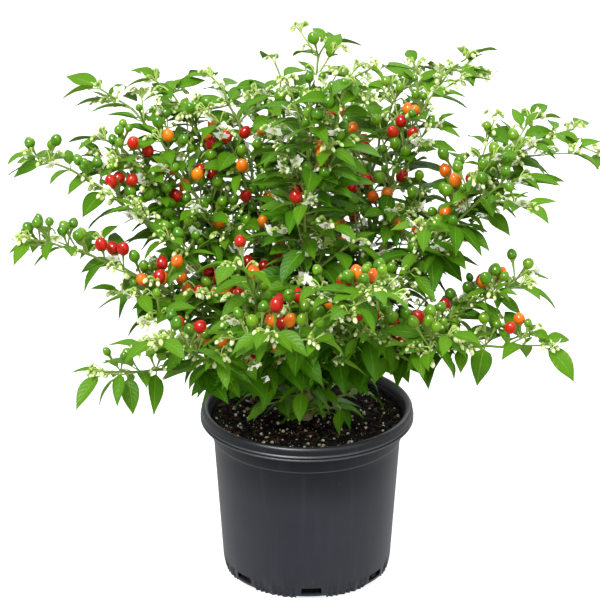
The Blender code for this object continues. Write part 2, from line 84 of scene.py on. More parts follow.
class Value:
    """A socket. Sums with it add Math nodes, whichever side of the sign it stands on."""

    def __init__(self, finish, socket):
        self.finish, self.socket = finish, socket

    def maths(self, operation, first, second=0.0):
        return self.finish.node("ShaderNodeMath", {"operation": operation}, {0: first, 1: second})

    def __add__(self, other):
        return self.maths("ADD", self, other)

    def __sub__(self, other):
        return self.maths("SUBTRACT", self, other)

    def __rsub__(self, other):
        return self.maths("SUBTRACT", other, self)

    def __mul__(self, other):
        return self.maths("MULTIPLY", self, other)

    def __abs__(self):
        return self.maths("ABSOLUTE", self)

    def fraction(self):
        return self.maths("FRACT", self)

    __radd__, __rmul__ = __add__, __mul__


methods = [name.strip("_") for name, made in vars(Value).items() if callable(made)]
print("a value can:", [name for name in methods if name != "init"])

# %% [markdown]
# ## A finish
# A finish is a material with one Principled shader. `node` adds any node: its settings come first,
# because they decide which sockets exist, and then the values or links of its sockets. A few short
# methods cover what every finish here needs: a number stored in the mesh, noise at a given scale,
# a soft threshold, and a mix of two colours. The sky at the end is a node tree too, so it is made
# with the same class.

# %% The finish class


class Finish:
    """The nodes of a material, or of a world, that end in one shader."""

    def __init__(self, name, world=None):
        self.material = world or bpy.data.materials.new(name)
        self.material.use_nodes = True
        self.tree = self.material.node_tree
        self.shader = self.tree.nodes["Background" if world else "Principled BSDF"]
        self.place = self.node("ShaderNodeTexCoord", output="Generated" if world else "Object")

    def node(self, kind, settings=(), sockets=(), output=0):
        made = self.tree.nodes.new(kind)
        for key, value in dict(settings).items():
            setattr(made, key, value)
        for key, value in dict(sockets).items():
            self.plug(made.inputs[key], value)
        return Value(self, made.outputs[output])

    def plug(self, socket, value):
        if isinstance(value, Value):
            self.tree.links.new(value.socket, socket)
        else:
            socket.default_value = value

    def stored(self, name):
        return self.node("ShaderNodeAttribute", {"attribute_name": name}, output="Fac")

    def noise(self, scale, detail=2.0, stretch=(1, 1, 1)):
        stretched = {0: self.place, 1: stretch}
        place = self.node("ShaderNodeVectorMath", {"operation": "MULTIPLY"}, stretched)
        sockets = {"Vector": place, "Scale": scale, "Detail": detail}
        return self.node("ShaderNodeTexNoise", {}, sockets)

    def step(self, value, low, high):
        limits = {"Value": value, "From Min": low, "From Max": high}
        return self.node("ShaderNodeMapRange", {"interpolation_type": "SMOOTHSTEP"}, limits)

    def blend(self, share, first, second):
        first, second = [c if isinstance(c, Value) else (*c, 1) for c in (first, second)]
        return self.node("ShaderNodeMix", {"data_type": "RGBA"}, {0: share, 6: first, 7: second}, 2)

    def bump(self, height, distance, strength=1.0):
        sockets = {"Height": height, "Distance": distance, "Strength": strength}
        return self.node("ShaderNodeBump", {}, sockets)

    def wear(self, **sockets):
        for name, value in sockets.items():
            self.plug(self.shader.inputs[name.replace("_", " ")], value)
        return self.material


print("a finish can:", [name for name in vars(Finish) if not name.startswith("_")])

# %% [markdown]
# ## Gathering a mesh
# A limb of this plant has about 180 leaves. That many objects would be slow, so the leaves of a
# limb are one piece. `Sheaf` gathers points and faces, and for each point four numbers that the
# finish reads: how far along and across its part it lies, a chance tint, and an age. That way one
# leaf finish paints the veins of every leaf, however it is bent.

# %% The sheaf of points and faces
NOTES = ("along", "across", "tint", "age")


class Sheaf:
    """Points, faces and notes of many parts, which become one mesh."""

    def __init__(self):
        self.points, self.faces, self.looks, self.count = [], [], [], 0
        self.notes = {note: [] for note in NOTES}

    def add(self, points, face_groups, **notes):
        points = np.asarray(points, float).reshape(-1, 3)
        for faces, look in face_groups:
            self.faces += (faces + self.count).tolist()
            self.looks += [look] * len(faces)
        for note in NOTES:
            self.notes[note].append(np.broadcast_to(notes.get(note, 0.0), len(points)))
        self.points.append(points)
        self.count += len(points)

    def mesh(self, name, finishes, sharp=50):
        mesh = bpy.data.meshes.new(name)
        mesh.from_pydata(np.concatenate(self.points).tolist(), [], self.faces)
        for note in NOTES:
            stored = mesh.attributes.new(note, "FLOAT", "POINT")
            stored.data.foreach_set("value", np.concatenate(self.notes[note]).astype(np.float32))
        for finish in finishes:
            mesh.materials.append(finish)
        mesh.polygons.foreach_set("material_index", self.looks)
        mesh.shade_smooth()
        mesh.set_sharp_from_angle(angle=math.radians(sharp))
        return mesh


print("numbers stored at each point:", NOTES)

# %% A piece of the model
made_faces = {}


def stand(name, mesh, stands_for):
    """Puts a finished mesh in the scene as one piece of the model."""
    ob = bpy.data.objects.new(name, mesh)
    bpy.context.scene.collection.objects.link(ob)
    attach(ob, "root")
    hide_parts(*stands_for)
    made_faces[name] = sum(len(face.vertices) - 2 for face in mesh.polygons)
    return ob


# %% [markdown]
# ## Skins
# Stems, stalks, berries, buds and the pot are all closed skins over a row of rings. A ring may
# shrink or swell along the way, so one function makes a stem, an egg or a bead. The faces depend
# only on how many rings and sides there are, so they are worked out once and kept.

# %% Skins over rings


@lru_cache(None)
def skin_faces(rings, sides):
    here = np.arange(sides)
    after = np.roll(here, -1)
    rows = np.arange(rings - 1)[:, None] * sides
    quads = np.stack([here + rows, after + rows, after + rows + sides, here + rows + sides], 2)
    top = (rings - 1) * sides
    first, last = np.full(sides, rings * sides), np.full(sides, rings * sides + 1)
    foot, tip = np.stack([first, after, here], 1), np.stack([last, here + top, after + top], 1)
    return quads.reshape(-1, 4), np.concatenate([foot, tip])


def add_skin(sheaf, rings, look=0, **notes):
    """rings has the shape (ring, side, xyz). A note may give one number to each ring."""
    count, sides = rings.shape[:2]
    points = np.concatenate([rings.reshape(-1, 3), rings[[0, -1]].mean(1)])
    spread = {}
    for note, value in notes.items():
        if np.ndim(value) == 1:
            value = np.concatenate([np.repeat(value, sides), [value[0], value[-1]]])
        spread[note] = value
    quads, fans = skin_faces(count, sides)
    sheaf.add(points, [(quads, look), (fans, look)], **spread)


def rings_along(path, radii, sides):
    """Round rings across a path, turned as little as possible from one to the next."""
    path = np.asarray(path, float)
    tangents = np.gradient(path, axis=0)
    tangents /= np.linalg.norm(tangents, axis=1, keepdims=True)
    steady = (0.0, 0.0, 1.0) if abs(tangents[0][2]) < 0.9 else (1.0, 0.0, 0.0)
    across = np.cross(tangents[0], steady)
    normals = []
    for tangent in tangents:
        across = across - tangent * (across @ tangent)
        across = across / math.sqrt(across @ across)
        normals.append(across)
    normals = np.array(normals)[:, None]
    turn = (np.arange(sides) * 2 * math.pi / sides)[None, :, None]
    circle = np.cos(turn) * normals + np.sin(turn) * np.cross(tangents, normals[:, 0])[:, None]
    return path[:, None] + circle * np.asarray(radii, float)[:, None, None]


def add_tube(sheaf, path, radii, sides, look=0, **notes):
    add_skin(sheaf, rings_along(path, radii, sides), look, **notes)


print("faces of a skin of 8 rings and 14 sides:", sum(len(faces) for faces in skin_faces(8, 14)))

# %% [markdown]
# ## The growth plan
# A chilli plant forks again and again, and each fork has leaves and later a fruit. The plan below
# is the one that the solid model was grown from: twelve limbs, each with a leading shoot and a side
# shoot. A shoot's tip is given by its heading in degrees, its reach from the middle and its height.
# Each shoot is a Bezier curve cut at even distances into nodes, which lean left and right in turn,
# as real ones do.

# %% Limbs
STEM_BOTTOM, STEM_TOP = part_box("main_stem")[0].z, 0.196
STEM_BASE_RADIUS, STEM_TOP_RADIUS = 0.0050, 0.0034
LIMB_RADIUS, FORK_RADIUS, SIDE_RADIUS, TIP_RADIUS = 0.0023, 0.0016, 0.0014, 0.0007

Limb = namedtuple("Limb", "height lead side flowers")
LIMBS = (
    Limb(0.170, (171, 0.211, 0.328), (160, 0.164, 0.332), True),
    Limb(0.158, (189, 0.208, 0.285), (201, 0.135, 0.247), True),
    Limb(0.146, (212, 0.176, 0.204), (228, 0.160, 0.240), True),
    Limb(0.180, (150, 0.184, 0.361), (138, 0.157, 0.363), True),
    Limb(0.190, (122, 0.140, 0.362), (104, 0.102, 0.380), False),
    Limb(STEM_TOP, (72, 0.044, 0.413), (350, 0.047, 0.410), True),
    Limb(0.186, (43, 0.169, 0.378), (60, 0.163, 0.355), True),
    Limb(0.172, (6, 0.201, 0.353), (350, 0.158, 0.330), True),
    Limb(0.154, (333, 0.193, 0.223), (346, 0.163, 0.250), True),
    Limb(0.150, (258, 0.136, 0.252), (240, 0.106, 0.288), False),
    Limb(0.162, (288, 0.152, 0.288), (312, 0.152, 0.242), False),
    Limb(0.166, (92, 0.180, 0.292), (74, 0.170, 0.316), False),
)
CENTRE_LIMB = 6
print("limbs:", len(LIMBS), "of which the one that carries on from the stem's top is", CENTRE_LIMB)

# %% Curves cut into nodes
NODE_SPACING, CURVE_STEPS = 0.0155, 200


def heading_vector(heading, rise=0.0):
    h, r = math.radians(heading), math.radians(rise)
    return Vector((math.cos(h) * math.cos(r), math.sin(h) * math.cos(r), math.sin(r)))


def bezier(p0, p1, p2, p3, t):
    s = 1 - t
    return p0 * s**3 + p1 * (3 * s * s * t) + p2 * (3 * s * t * t) + p3 * t**3


def spaced_nodes(p0, p1, p2, p3, spacing=NODE_SPACING):
    fine = [bezier(p0, p1, p2, p3, i / CURVE_STEPS) for i in range(CURVE_STEPS + 1)]
    travelled = [0.0]
    for a, b in zip(fine, fine[1:]):
        travelled.append(travelled[-1] + (b - a).length)
    count = max(3, round(travelled[-1] / spacing))
    goals = [travelled[-1] * k / count for k in range(count + 1)]
    return [fine[min(range(len(fine)), key=lambda j: abs(travelled[j] - goal))] for goal in goals]


def sideways(tangent):
    across = tangent.cross(UP)
    if across.length < 0.2:
        across = Vector((1, 0, 0)) - tangent * tangent.x
    return across.normalized()


def tangent_at(nodes, i):
    return (nodes[min(len(nodes) - 1, i + 1)] - nodes[max(0, i - 1)]).normalized()


upright = spaced_nodes(Vector(), UP * 0.1, UP * 0.2, UP * 0.3)
print("a straight shoot of 300 mm gets", len(upright) - 1, "gaps between its nodes")

# %% Limbs and side shoots as nodes
GAP, ZIGZAG, WOOD_SHARE, SEAT_BACK = 0.0003, 0.0011, 0.40, 0.005
LAUNCH_RISE, LAUNCH_SHARE, SIDE_LAUNCH_SHARE, CENTRE_LAUNCH = 38, 0.42, 0.34, 0.06
ARRIVE_RISE, SIDE_ARRIVE_RISE, ARRIVE_SHARE = 14, 16, 0.30


def zigzag(nodes, first):
    bent = []
    for i, p in enumerate(nodes):
        turn = 0 if i < first or i == len(nodes) - 1 else (1 if i % 2 else -1)
        bent.append(p + sideways(tangent_at(nodes, i)) * turn * ZIGZAG)
    return bent


def stem_radius(z):
    share = (z - STEM_BOTTOM) / (STEM_TOP - STEM_BOTTOM)
    return STEM_BASE_RADIUS + (STEM_TOP_RADIUS - STEM_BASE_RADIUS) * share


def tip_point(tip):
    return heading_vector(tip[0]) * tip[1] + UP * tip[2]


def limb_nodes(limb):
    tip = tip_point(limb.lead)
    if limb.height >= STEM_TOP:
        start = UP * (STEM_TOP + GAP)
        launch = start + UP * CENTRE_LAUNCH
    else:
        start = heading_vector(limb.lead[0]) * (stem_radius(limb.height) + GAP) + UP * limb.height
        rising = heading_vector(limb.lead[0], LAUNCH_RISE)
        launch = start + rising * (tip - start).length * LAUNCH_SHARE
    arrive = tip - heading_vector(limb.lead[0], ARRIVE_RISE) * (tip - start).length * ARRIVE_SHARE
    nodes = spaced_nodes(start, launch, arrive, tip)
    fork = round(WOOD_SHARE * (len(nodes) - 1))
    return zigzag(nodes, fork), fork


def side_nodes(limb, nodes, fork):
    tip = tip_point(limb.side)
    along = (nodes[fork] - nodes[fork - 1]).normalized()
    seat = nodes[fork] - along * SEAT_BACK
    across = sideways(along)
    if across.dot(tip - seat) < 0:
        across = -across
    start = seat + across * (FORK_RADIUS + GAP)
    launch = start + (across + along).normalized() * (tip - start).length * SIDE_LAUNCH_SHARE
    arriving = heading_vector(limb.side[0], SIDE_ARRIVE_RISE)
    arrive = tip - arriving * (tip - start).length * ARRIVE_SHARE
    nodes = spaced_nodes(start, launch, arrive, tip)
    return zigzag([start, start + across * 0.002] + nodes[1:], 2)


print("main stem radius at the first limb:", round(stem_radius(LIMBS[0].height), 4))

# %% [markdown]
# ## Twigs and knots
# The solid model has only a few twigs a shoot. A real plant has a short twig at most nodes, and
# that is what makes the crown dense. Every node of a shoot or twig becomes a knot: a place where
# leaves, fruit or buds grow. A knot knows which way its stem runs, how near the tip it is, on which
# side its big leaf stands, and the ceiling that its growth stays under, so that each shoot's own
# tip stands out. No two limbs are alike: some spread wider or are barer than the rest. All later
# steps only walk over the list of knots.

# %% Twigs on shoots and limbs
TWIG_SPACING, TWIG_CURVE, GOLDEN_ANGLE = 0.0125, 0.3, 137.5
TWIG_SHRINK, SHORTEST_TWIG, WOOD_TWIG = 0.0040, 0.018, (0.026, 0.048)
HANGS_BELOW, HANG_RANGE = 0.330, 0.125


def clamp(value):
    return min(max(value, 0.0), 1.0)


def twig(start, heading, length, bow=0.10):
    tip, lift, reach = start + heading * length, UP * length * bow, heading * length * TWIG_CURVE
    return spaced_nodes(start, start + reach, tip - reach + lift, tip + lift, TWIG_SPACING)


def hanging(z):
    """How much growth at this height hangs: 0 in the top of the crown and 1 at its lower edge."""
    return clamp((HANGS_BELOW - z) / HANG_RANGE)


def shoot_twigs(axis, rng, reach, ceiling, bare):
    """Twigs that leave a shoot left and right in turn, shorter towards its tip."""
    found = []
    for i in range(1, len(axis) - 1):
        if rng.random() < bare:
            continue
        sign = 1 if i % 2 else -1
        along = tangent_at(axis, i)
        length = max((reach - TWIG_SHRINK * i) * rng.uniform(0.7, 1.1), SHORTEST_TWIG)
        lift = rng.uniform(0.0, 0.8) * (1 - 0.7 * hanging(axis[i].z))
        across = sideways(along) * sign * rng.uniform(0.5, 0.95)
        out = (along * 0.75 + across + UP * lift).normalized()
        out.z = min(out.z, (ceiling - axis[i].z) / length)
        found.append(twig(axis[i], out.normalized(), length))
    return found


def wood_twigs(nodes, fork, rng, spread):
    """Short twigs on the bare limb, which fill the heart of the crown."""
    found = []
    for i in range(1, fork + 1):
        along = tangent_at(nodes, i)
        across = heading_vector(GOLDEN_ANGLE * i - 60) if along.z > 0.9 else sideways(along)
        for sign in (-1, 1):
            out = along * 0.5 + across * sign * rng.uniform(0.5, 1.0) + UP * rng.uniform(-0.1, 0.9)
            found.append(twig(nodes[i], out.normalized(), rng.uniform(*WOOD_TWIG) * spread))
    return found


print("growth at 300 mm hangs by a share of", round(hanging(0.300), 2))

# %% Twigs and sprouts at the foot
MIX_HEIGHT = 0.1230
BASAL_TWIGS, BASAL_HEIGHT, BASAL_LENGTH = 8, (0.130, 0.168), (0.022, 0.040)
SPROUT_HEADINGS, SPROUT_LENGTH = (295, 262, 225, 345, 60, 150), (0.012, 0.020)


def basal_twigs(rng):
    """Low twigs round the foot of the main stem. Their leaves hang over the potting mix."""
    found = []
    for k in range(BASAL_TWIGS):
        height = rng.uniform(*BASAL_HEIGHT)
        heading = 360 / BASAL_TWIGS * k + rng.uniform(-14, 14) - 90
        start = heading_vector(heading) * stem_radius(height) + UP * height
        rising = heading_vector(heading, rng.uniform(4, 26))
        found.append(twig(start, rising, rng.uniform(*BASAL_LENGTH), 0.02))
    return found


def sprout(heading, rng):
    """A small new shoot where the stem meets the soil."""
    rising = heading_vector(heading, rng.uniform(15, 40))
    return twig(UP * (MIX_HEIGHT + 0.003), rising, rng.uniform(*SPROUT_LENGTH))


basal, rng = basal_twigs(random.Random(77)), random.Random(78)
young = [sprout(heading, rng) for heading in SPROUT_HEADINGS]
print("twigs at the foot:", len(basal), "sprouts:", len(young))

# %% Knots on every limb
Knot = namedtuple("Knot", "limb place along stage sign kind ceiling")
Skeleton = namedtuple("Skeleton", "wood lead side twigs knots")
ABOVE_CEILING, TOP_SHOOT, LEAD_TWIG, SIDE_TWIG = 0.012, 0.412, 0.056, 0.050
# By limb: how far its ceiling is below its tip, how wide it spreads, and how bare it is
TIP_ABOVE = {5: 0.022, 9: 0.0}
SPREAD = {3: 0.80, 7: 1.12, 8: 1.40, 9: 0.90}
BARE_SHARE = {2: 0.42, 3: 0.38, 4: 0.18, 5: 0.22, 6: 0.20, 7: 0.12, 9: 0.28, 10: 0.25, 11: 0.22}


def ceiling_over(number, nodes):
    """The height that the twigs of a shoot stay under, so that its own tip stands out."""
    tip = nodes[-1].z
    return CAD_HIGH.z - ABOVE_CEILING if tip > TOP_SHOOT else tip - TIP_ABOVE.get(number, 0.013)


def knots_on(number, nodes, kind, ceiling, first=1):
    last = len(nodes) - 1
    return [
        Knot(number, nodes[i], tangent_at(nodes, i), i / last, 1 if i % 2 else -1, kind, ceiling)
        for i in range(first, last + 1)
    ]


skeletons = []
for number, limb in enumerate(LIMBS, 1):
    rng = random.Random(500 + number)
    nodes, fork = limb_nodes(limb)
    lead, side = nodes[fork:], side_nodes(limb, nodes, fork)
    spread, bare = SPREAD.get(number, 1.0), BARE_SHARE.get(number, 0.15)
    lead_top, side_top = ceiling_over(number, lead), ceiling_over(number, side)
    lead_twigs = shoot_twigs(lead, rng, LEAD_TWIG * spread, lead_top, bare)
    side_twigs = shoot_twigs(side, rng, SIDE_TWIG * spread, side_top, bare)
    inner = wood_twigs(nodes, fork + 3 * (number == CENTRE_LIMB), rng, spread)
    inner_top = min(lead_top, side_top)
    knots = knots_on(number, nodes[: fork + 1], "wood", inner_top)
    knots += knots_on(number, lead, "shoot", lead_top)
    knots += knots_on(number, side, "shoot", side_top, 2)
    grown = (
        (lead_twigs, "twig", lead_top),
        (side_twigs, "twig", side_top),
        (inner, "inner", inner_top),
    )
    for routes, kind, top in grown:
        for route in routes:
            knots += knots_on(number, route, kind, top)
    twigs = lead_twigs + side_twigs + inner
    skeletons.append(Skeleton(nodes[: fork + 1], lead, side, twigs, knots))
basal_knots = [knot for route in basal for knot in knots_on(0, route, "base", STEM_TOP)]
basal_knots += [knot for route in young for knot in knots_on(0, route, "sprout", STEM_TOP)]
ALL_KNOTS = [knot for skeleton in skeletons for knot in skeleton.knots]
twig_count = sum(len(skeleton.twigs) for skeleton in skeletons) + len(basal)
print("knots:", len(ALL_KNOTS) + len(basal_knots), "twigs:", twig_count)

# %% [markdown]
# ## Bark and green stems
# The main stem is the only grey-brown wood on this plant. Its bark is thin, with fine upright
# cracks, and turns olive higher up. Limbs and shoots stay green and a little ribbed: dull with
# brown flecks where they are old, and fresh towards their tips. Both finishes read the age that
# each point carries, so the colour changes along a stem without a seam between pieces.

# %% Bark and stem finishes
bark = Finish("bark")
fine = bark.noise(900.0, 4.0, (1.0, 1.0, 0.22))
broad = bark.noise(120.0, 2.0)
woody = bark.stored("age")
cracks = bark.step(fine, 0.52, 0.70)
skin_tone = bark.blend(woody, (0.13, 0.17, 0.035), (0.30, 0.27, 0.11))
skin_tone = bark.blend(broad * 0.5, skin_tone, (0.15, 0.15, 0.055))
bark.wear(
    Base_Color=bark.blend(cracks * 0.55, skin_tone, (0.075, 0.055, 0.03)),
    Roughness=0.62 + fine * 0.25,
    Normal=bark.bump(fine * 0.7 + broad * 0.3, 0.0006, 0.8),
)

stem_green = Finish("stem_green")
ribs = stem_green.noise(700.0, 2.0, (1.0, 1.0, 0.35))
flecks = stem_green.step(stem_green.noise(260.0, 3.0), 0.55, 0.75)
old = stem_green.stored("age")
tone = stem_green.blend(old, (0.15, 0.26, 0.030), (0.105, 0.105, 0.028))
tone = stem_green.blend(stem_green.stored("tint") * 0.85, tone, (0.42, 0.56, 0.13))
stem_green.wear(
    Base_Color=stem_green.blend(flecks * old * 0.5, tone, (0.10, 0.075, 0.035)),
    Roughness=0.50 + ribs * 0.2,
    Specular_IOR_Level=0.22,
    Normal=stem_green.bump(ribs, 0.0003, 0.5),
)
print("nodes in the two finishes:", [len(finish.tree.nodes) for finish in (bark, stem_green)])

# %% [markdown]
# ## The woody frame
# The main stem flares where it meets the soil and has a swollen knuckle at each limb. Limbs are
# tubes through their nodes on a smooth curve. The rings stand close together at each node, because
# that is where a real stem thickens, and far apart between.

# %% A stem through its nodes
TWIG_RADIUS = 0.0008
STEM_RINGS = np.array(((0.0, 1.30), (0.10, 1.10), (0.35, 1.0), (0.65, 1.0), (0.90, 1.10)))
TWIG_RINGS = np.array(((0.0, 1.20), (0.5, 1.0)))


def rounded(nodes, shares):
    """Points on a smooth curve through the nodes, at these shares of each gap."""
    nodes = np.array([tuple(node) for node in nodes])
    ends = np.vstack([2 * nodes[0] - nodes[1], nodes, 2 * nodes[-1] - nodes[-2]])
    a, b, c, d = ends[:-3, None], ends[1:-2, None], ends[2:-1, None], ends[3:, None]
    t = np.array(shares)[None, :, None]
    square, cube = 2 * a - 5 * b + 4 * c - d, 3 * b - a - 3 * c + d
    curve = 2 * b + (c - a) * t + square * t**2 + cube * t**3
    return np.vstack([curve.reshape(-1, 3) / 2, nodes[-1:]])


def add_stem(sheaf, nodes, first, last, sides, ages, tint=0.0, rings=STEM_RINGS):
    """A stem through its nodes. Each of the rings is a share of the gap and a thickness there."""
    path = rounded(nodes, rings[:, 0])
    knuckles = np.append(np.tile(rings[:, 1], len(nodes) - 1), 1.1)
    knuckles[0] = 1.0
    share = np.linspace(0, 1, len(path))
    radii = (first + (last - first) * share) * knuckles
    age = ages[0] + (ages[1] - ages[0]) * share
    add_tube(sheaf, path, radii, sides, along=share, age=age, tint=tint)


print("rings between two nodes of a stem:", len(STEM_RINGS), "and of a twig:", len(TWIG_RINGS))

# %% The main stem
TRUNK_RINGS, TRUNK_SIDES, SWAY = 44, 20, 0.0004
FLARE, FLARE_WIDTH, KNUCKLE, KNUCKLE_WIDTH = 0.0004, 0.006, 0.0006, 0.0028
WOODY_BELOW, WOODY_RANGE = 0.185, 0.05

trunk = Sheaf()
heights = np.linspace(STEM_BOTTOM, STEM_TOP, TRUNK_RINGS)
radii = np.array([stem_radius(z) for z in heights])
radii += FLARE * np.exp(-((heights - MIX_HEIGHT) / FLARE_WIDTH) ** 2)
for limb in LIMBS:
    radii += KNUCKLE * np.exp(-((heights - limb.height) / KNUCKLE_WIDTH) ** 2)
sway = np.stack([SWAY * np.sin(heights * 190), SWAY * np.cos(heights * 150), heights], 1)
add_tube(trunk, sway, radii, TRUNK_SIDES, age=np.clip((WOODY_BELOW - heights) / WOODY_RANGE, 0, 1))
stand("main_stem_bark", trunk.mesh("main_stem_bark", [bark.material]), ["main_stem"])
print("main stem:", made_faces["main_stem_bark"], "triangles")

# %% Limbs, shoots and twigs


def shoots_of(number):
    """The nodes of the solid model that stand for the two shoots of a limb."""
    return [f"leading_shoot_{number:02d}", f"side_shoot_{number:02d}"]


for number, skeleton in enumerate(skeletons, 1):
    wood, green = Sheaf(), Sheaf()
    base = LIMB_RADIUS if number != CENTRE_LIMB else STEM_TOP_RADIUS * 0.68
    start = [] if number == CENTRE_LIMB else [Vector((0, 0, skeleton.wood[0].z - 0.002))]
    add_stem(wood, start + skeleton.wood, base * 1.1, FORK_RADIUS, 10, (0.9, 0.45))
    lead = [skeleton.wood[-1]] + skeleton.lead[1:]
    add_stem(green, lead, FORK_RADIUS, TIP_RADIUS, 8, (0.45, 0.0))
    add_stem(green, skeleton.side, SIDE_RADIUS, TIP_RADIUS, 8, (0.45, 0.0))
    for route in skeleton.twigs:
        add_stem(green, route, TWIG_RADIUS, TIP_RADIUS * 0.8, 5, (0.25, 0.0), 0.55, TWIG_RINGS)
    wood_mesh = wood.mesh("limb_wood", [stem_green.material])
    green_mesh = green.mesh("shoot_stems", [stem_green.material])
    stand(f"limb_wood_{number:02d}", wood_mesh, [f"limb_{number:02d}"])
    stand(f"shoot_stems_{number:02d}", green_mesh, shoots_of(number))
low_stems = Sheaf()
for route in basal + young:
    add_stem(low_stems, route, TWIG_RADIUS * 1.3, TIP_RADIUS, 5, (0.3, 0.1), 0.2, TWIG_RINGS)
low_mesh = low_stems.mesh("basal_stems", [stem_green.material])
stand("basal_stems", low_mesh, ["main_stem"])
print("stems:", sum(made_faces.values()), "triangles")

# %% [markdown]
# ## Room in the crown
# Leaves and berries of a real plant push each other aside. A physical simulation of that would be
# slow, and each piece is light, so a simpler rule does: what has grown is remembered as small
# balls, and a new berry or leaf is tried in several poses. The pose with the most air is kept.

# %% Free air


class Crowd:
    """Everything that has grown so far, as small balls."""

    def __init__(self, size=40000):
        self.balls, self.count = np.zeros((size, 4)), 0

    def keep(self, points, radius):
        points = np.asarray(points).reshape(-1, 3)
        last = self.count + len(points)
        self.balls[self.count : last] = np.column_stack([points, np.full(len(points), radius)])
        self.count = last

    def near(self, place, reach):
        """The balls that something within reach of place can touch."""
        balls = self.balls[: self.count]
        return balls[np.linalg.norm(balls[:, :3] - np.array(place), axis=1) < reach]

    @staticmethod
    def room(points, balls):
        """The smallest distance from any of these points to the surface of a ball."""
        if not len(balls):
            return 1.0
        apart = np.asarray(points)[:, None] - balls[None, :, :3]
        return float((np.linalg.norm(apart, axis=2) - balls[:, 3]).min())


crowd = Crowd()
for skeleton in skeletons:
    for nodes in (skeleton.wood, skeleton.lead, skeleton.side):
        crowd.keep(rounded(nodes, (0.25, 0.5, 0.75)), 0.0012)
print("balls along the stems:", crowd.count)

# %% [markdown]
# ## Berry finishes
# A chilli berry has a waxy, very smooth skin over firm flesh. It ripens from green through orange
# to red. Its lower part, round the stalk, is painted darker, as shade. The mesh stores how far up
# the berry a point lies, so the skin can run from that painted shade to its own tone, and noise
# makes the turning ones patchy. A coat layer gives the sharp highlight over a softer one.

# %% Berries: green, orange, red
# Per ripeness: a painted shade for the lower part by the stalk, the body, a blush, and how patchy
# the blush is
BERRY_TONES = {
    "green": ((0.014, 0.066, 0.001), (0.056, 0.195, 0.002), (0.21, 0.41, 0.010), 0.3),
    "orange": ((0.42, 0.050, 0.002), (0.80, 0.125, 0.003), (0.88, 0.29, 0.006), 0.5),
    "red": ((0.115, 0.0015, 0.0005), (0.42, 0.004, 0.0006), (0.64, 0.026, 0.0015), 0.3),
}


def berry_finish(name, shade, body, blush, patchy):
    finish = Finish(name)
    up, tint = finish.stored("along"), finish.stored("tint")
    patches = finish.step(finish.noise(170.0, 1.0), 0.42, 0.62)
    # Painted shade: the lower part of the berry, towards the stalk, runs darker
    skin = finish.blend(finish.step(up, 0.0, 0.60), shade, body)
    skin = finish.blend(tint * 0.65, skin, blush)
    skin = finish.blend(patches * patchy, skin, blush)
    pores = finish.noise(1500.0, 2.0)
    return finish.wear(
        Base_Color=skin,
        Roughness=0.26 + pores * 0.10,
        Specular_IOR_Level=0.20,
        Coat_Weight=0.70,
        Coat_Roughness=0.07,
        Coat_IOR=1.42,
        Normal=finish.bump(pores, 0.00012, 0.4),
    )


BERRY_SKINS = {
    stage: berry_finish("berry_" + stage, *tones) for stage, tones in BERRY_TONES.items()
}
print("berry skins:", list(BERRY_SKINS))

# %% [markdown]
# ## Berries on their stalks
# The fruit stands upright on a thick green stalk that widens into a small cup, the calyx. Each
# berry is an egg of fourteen sides, slightly lopsided, with a faint point at its tip. Fruit near
# the heart of the plant set first, so more of it is orange or red there, and it is green towards
# the shoot tips. A few empty balls are kept in front of each berry, so that leaves don't hide it.

# %% Shape of a berry
BERRY_SIDES = 14
EGG = np.radians(np.linspace(-80, 83, 8))
STALK_STATIONS = (0, 0.3, 0.65, 0.92, 1)


def add_berry(sheaf, berry, rng):
    """An egg that stands on the end of its stalk. It bulges a little towards one side."""
    heights = berry.radius * berry.stretch * (1 + np.sin(EGG))
    widths = berry.radius * np.cos(EGG) ** 0.92 * (1 - 0.07 * np.sin(EGG))
    heights[-1] += berry.radius * 0.06
    path = np.array(berry.end)[None] + np.array(berry.lean)[None] * heights[:, None]
    rings = rings_along(path, widths, BERRY_SIDES)
    turn = np.arange(BERRY_SIDES) * 2 * math.pi / BERRY_SIDES
    lobes = 1 + 0.025 * np.cos(3 * turn + rng.uniform(0, 6))
    rings = path[:, None] + (rings - path[:, None]) * lobes[None, :, None]
    add_skin(sheaf, rings, along=(np.sin(EGG) + 1) / 2, tint=rng.random() ** 2)


def stalk_path(base, lean, length, bend):
    """A stalk that starts along bend and turns into lean."""
    first = base + bend * length * 0.3
    middle = base + (lean + bend).normalized() * length * 0.45
    end = middle + lean * length * 0.55
    return [tuple(bezier(base, first, middle, end, t)) for t in STALK_STATIONS], end


def add_fruit_stalk(sheaf, path, radius, tint):
    cup = min(0.0021, radius * 0.45)
    radii = np.array((0.00064, 0.00060, 0.00072, 0.00110, cup))
    add_tube(sheaf, path, radii, 6, along=np.linspace(0, 1, 5), age=0.1, tint=tint)
    end, before = np.array(path[-1]), np.array(path[-2])
    way = (end - before) / np.linalg.norm(end - before)
    rim = [end - way * 0.0001, end + way * 0.0006, end + way * 0.0010]
    add_tube(sheaf, rim, [cup, cup * 1.12, cup * 0.75], 8, age=0.0, tint=tint + 0.2)


print("points of a berry:", len(EGG) * BERRY_SIDES + 2)

# %% How many berries a knot bears, and how ripe
RIPE_BELOW, FEW_ABOVE, RED_SHARE = 0.338, 0.385, 0.68
EARLY_SHARE = ((0.085, 0.46), (0.14, 0.34), (0.18, 0.15))
BERRY_CHANCES = {
    "shoot": ((0.10, 4), (0.26, 3), (0.54, 2), (0.80, 1)),
    "twig": ((0.16, 2), (0.46, 1)),
    "inner": ((0.10, 2), (0.28, 1)),
    "top": ((0.30, 1),),
}


def first_above(value, steps, otherwise=0):
    """The second number of the first step whose limit is above the value."""
    return next((result for limit, result in steps if value < limit), otherwise)


def ripeness_at(place, rng):
    """More are ripe near the heart of the crown. Outside and high up all are green."""
    early = first_above(math.hypot(place.x, place.y), EARLY_SHARE)
    if rng.random() > early or place.z > RIPE_BELOW:
        return "green"
    return "red" if rng.random() < RED_SHARE else "orange"


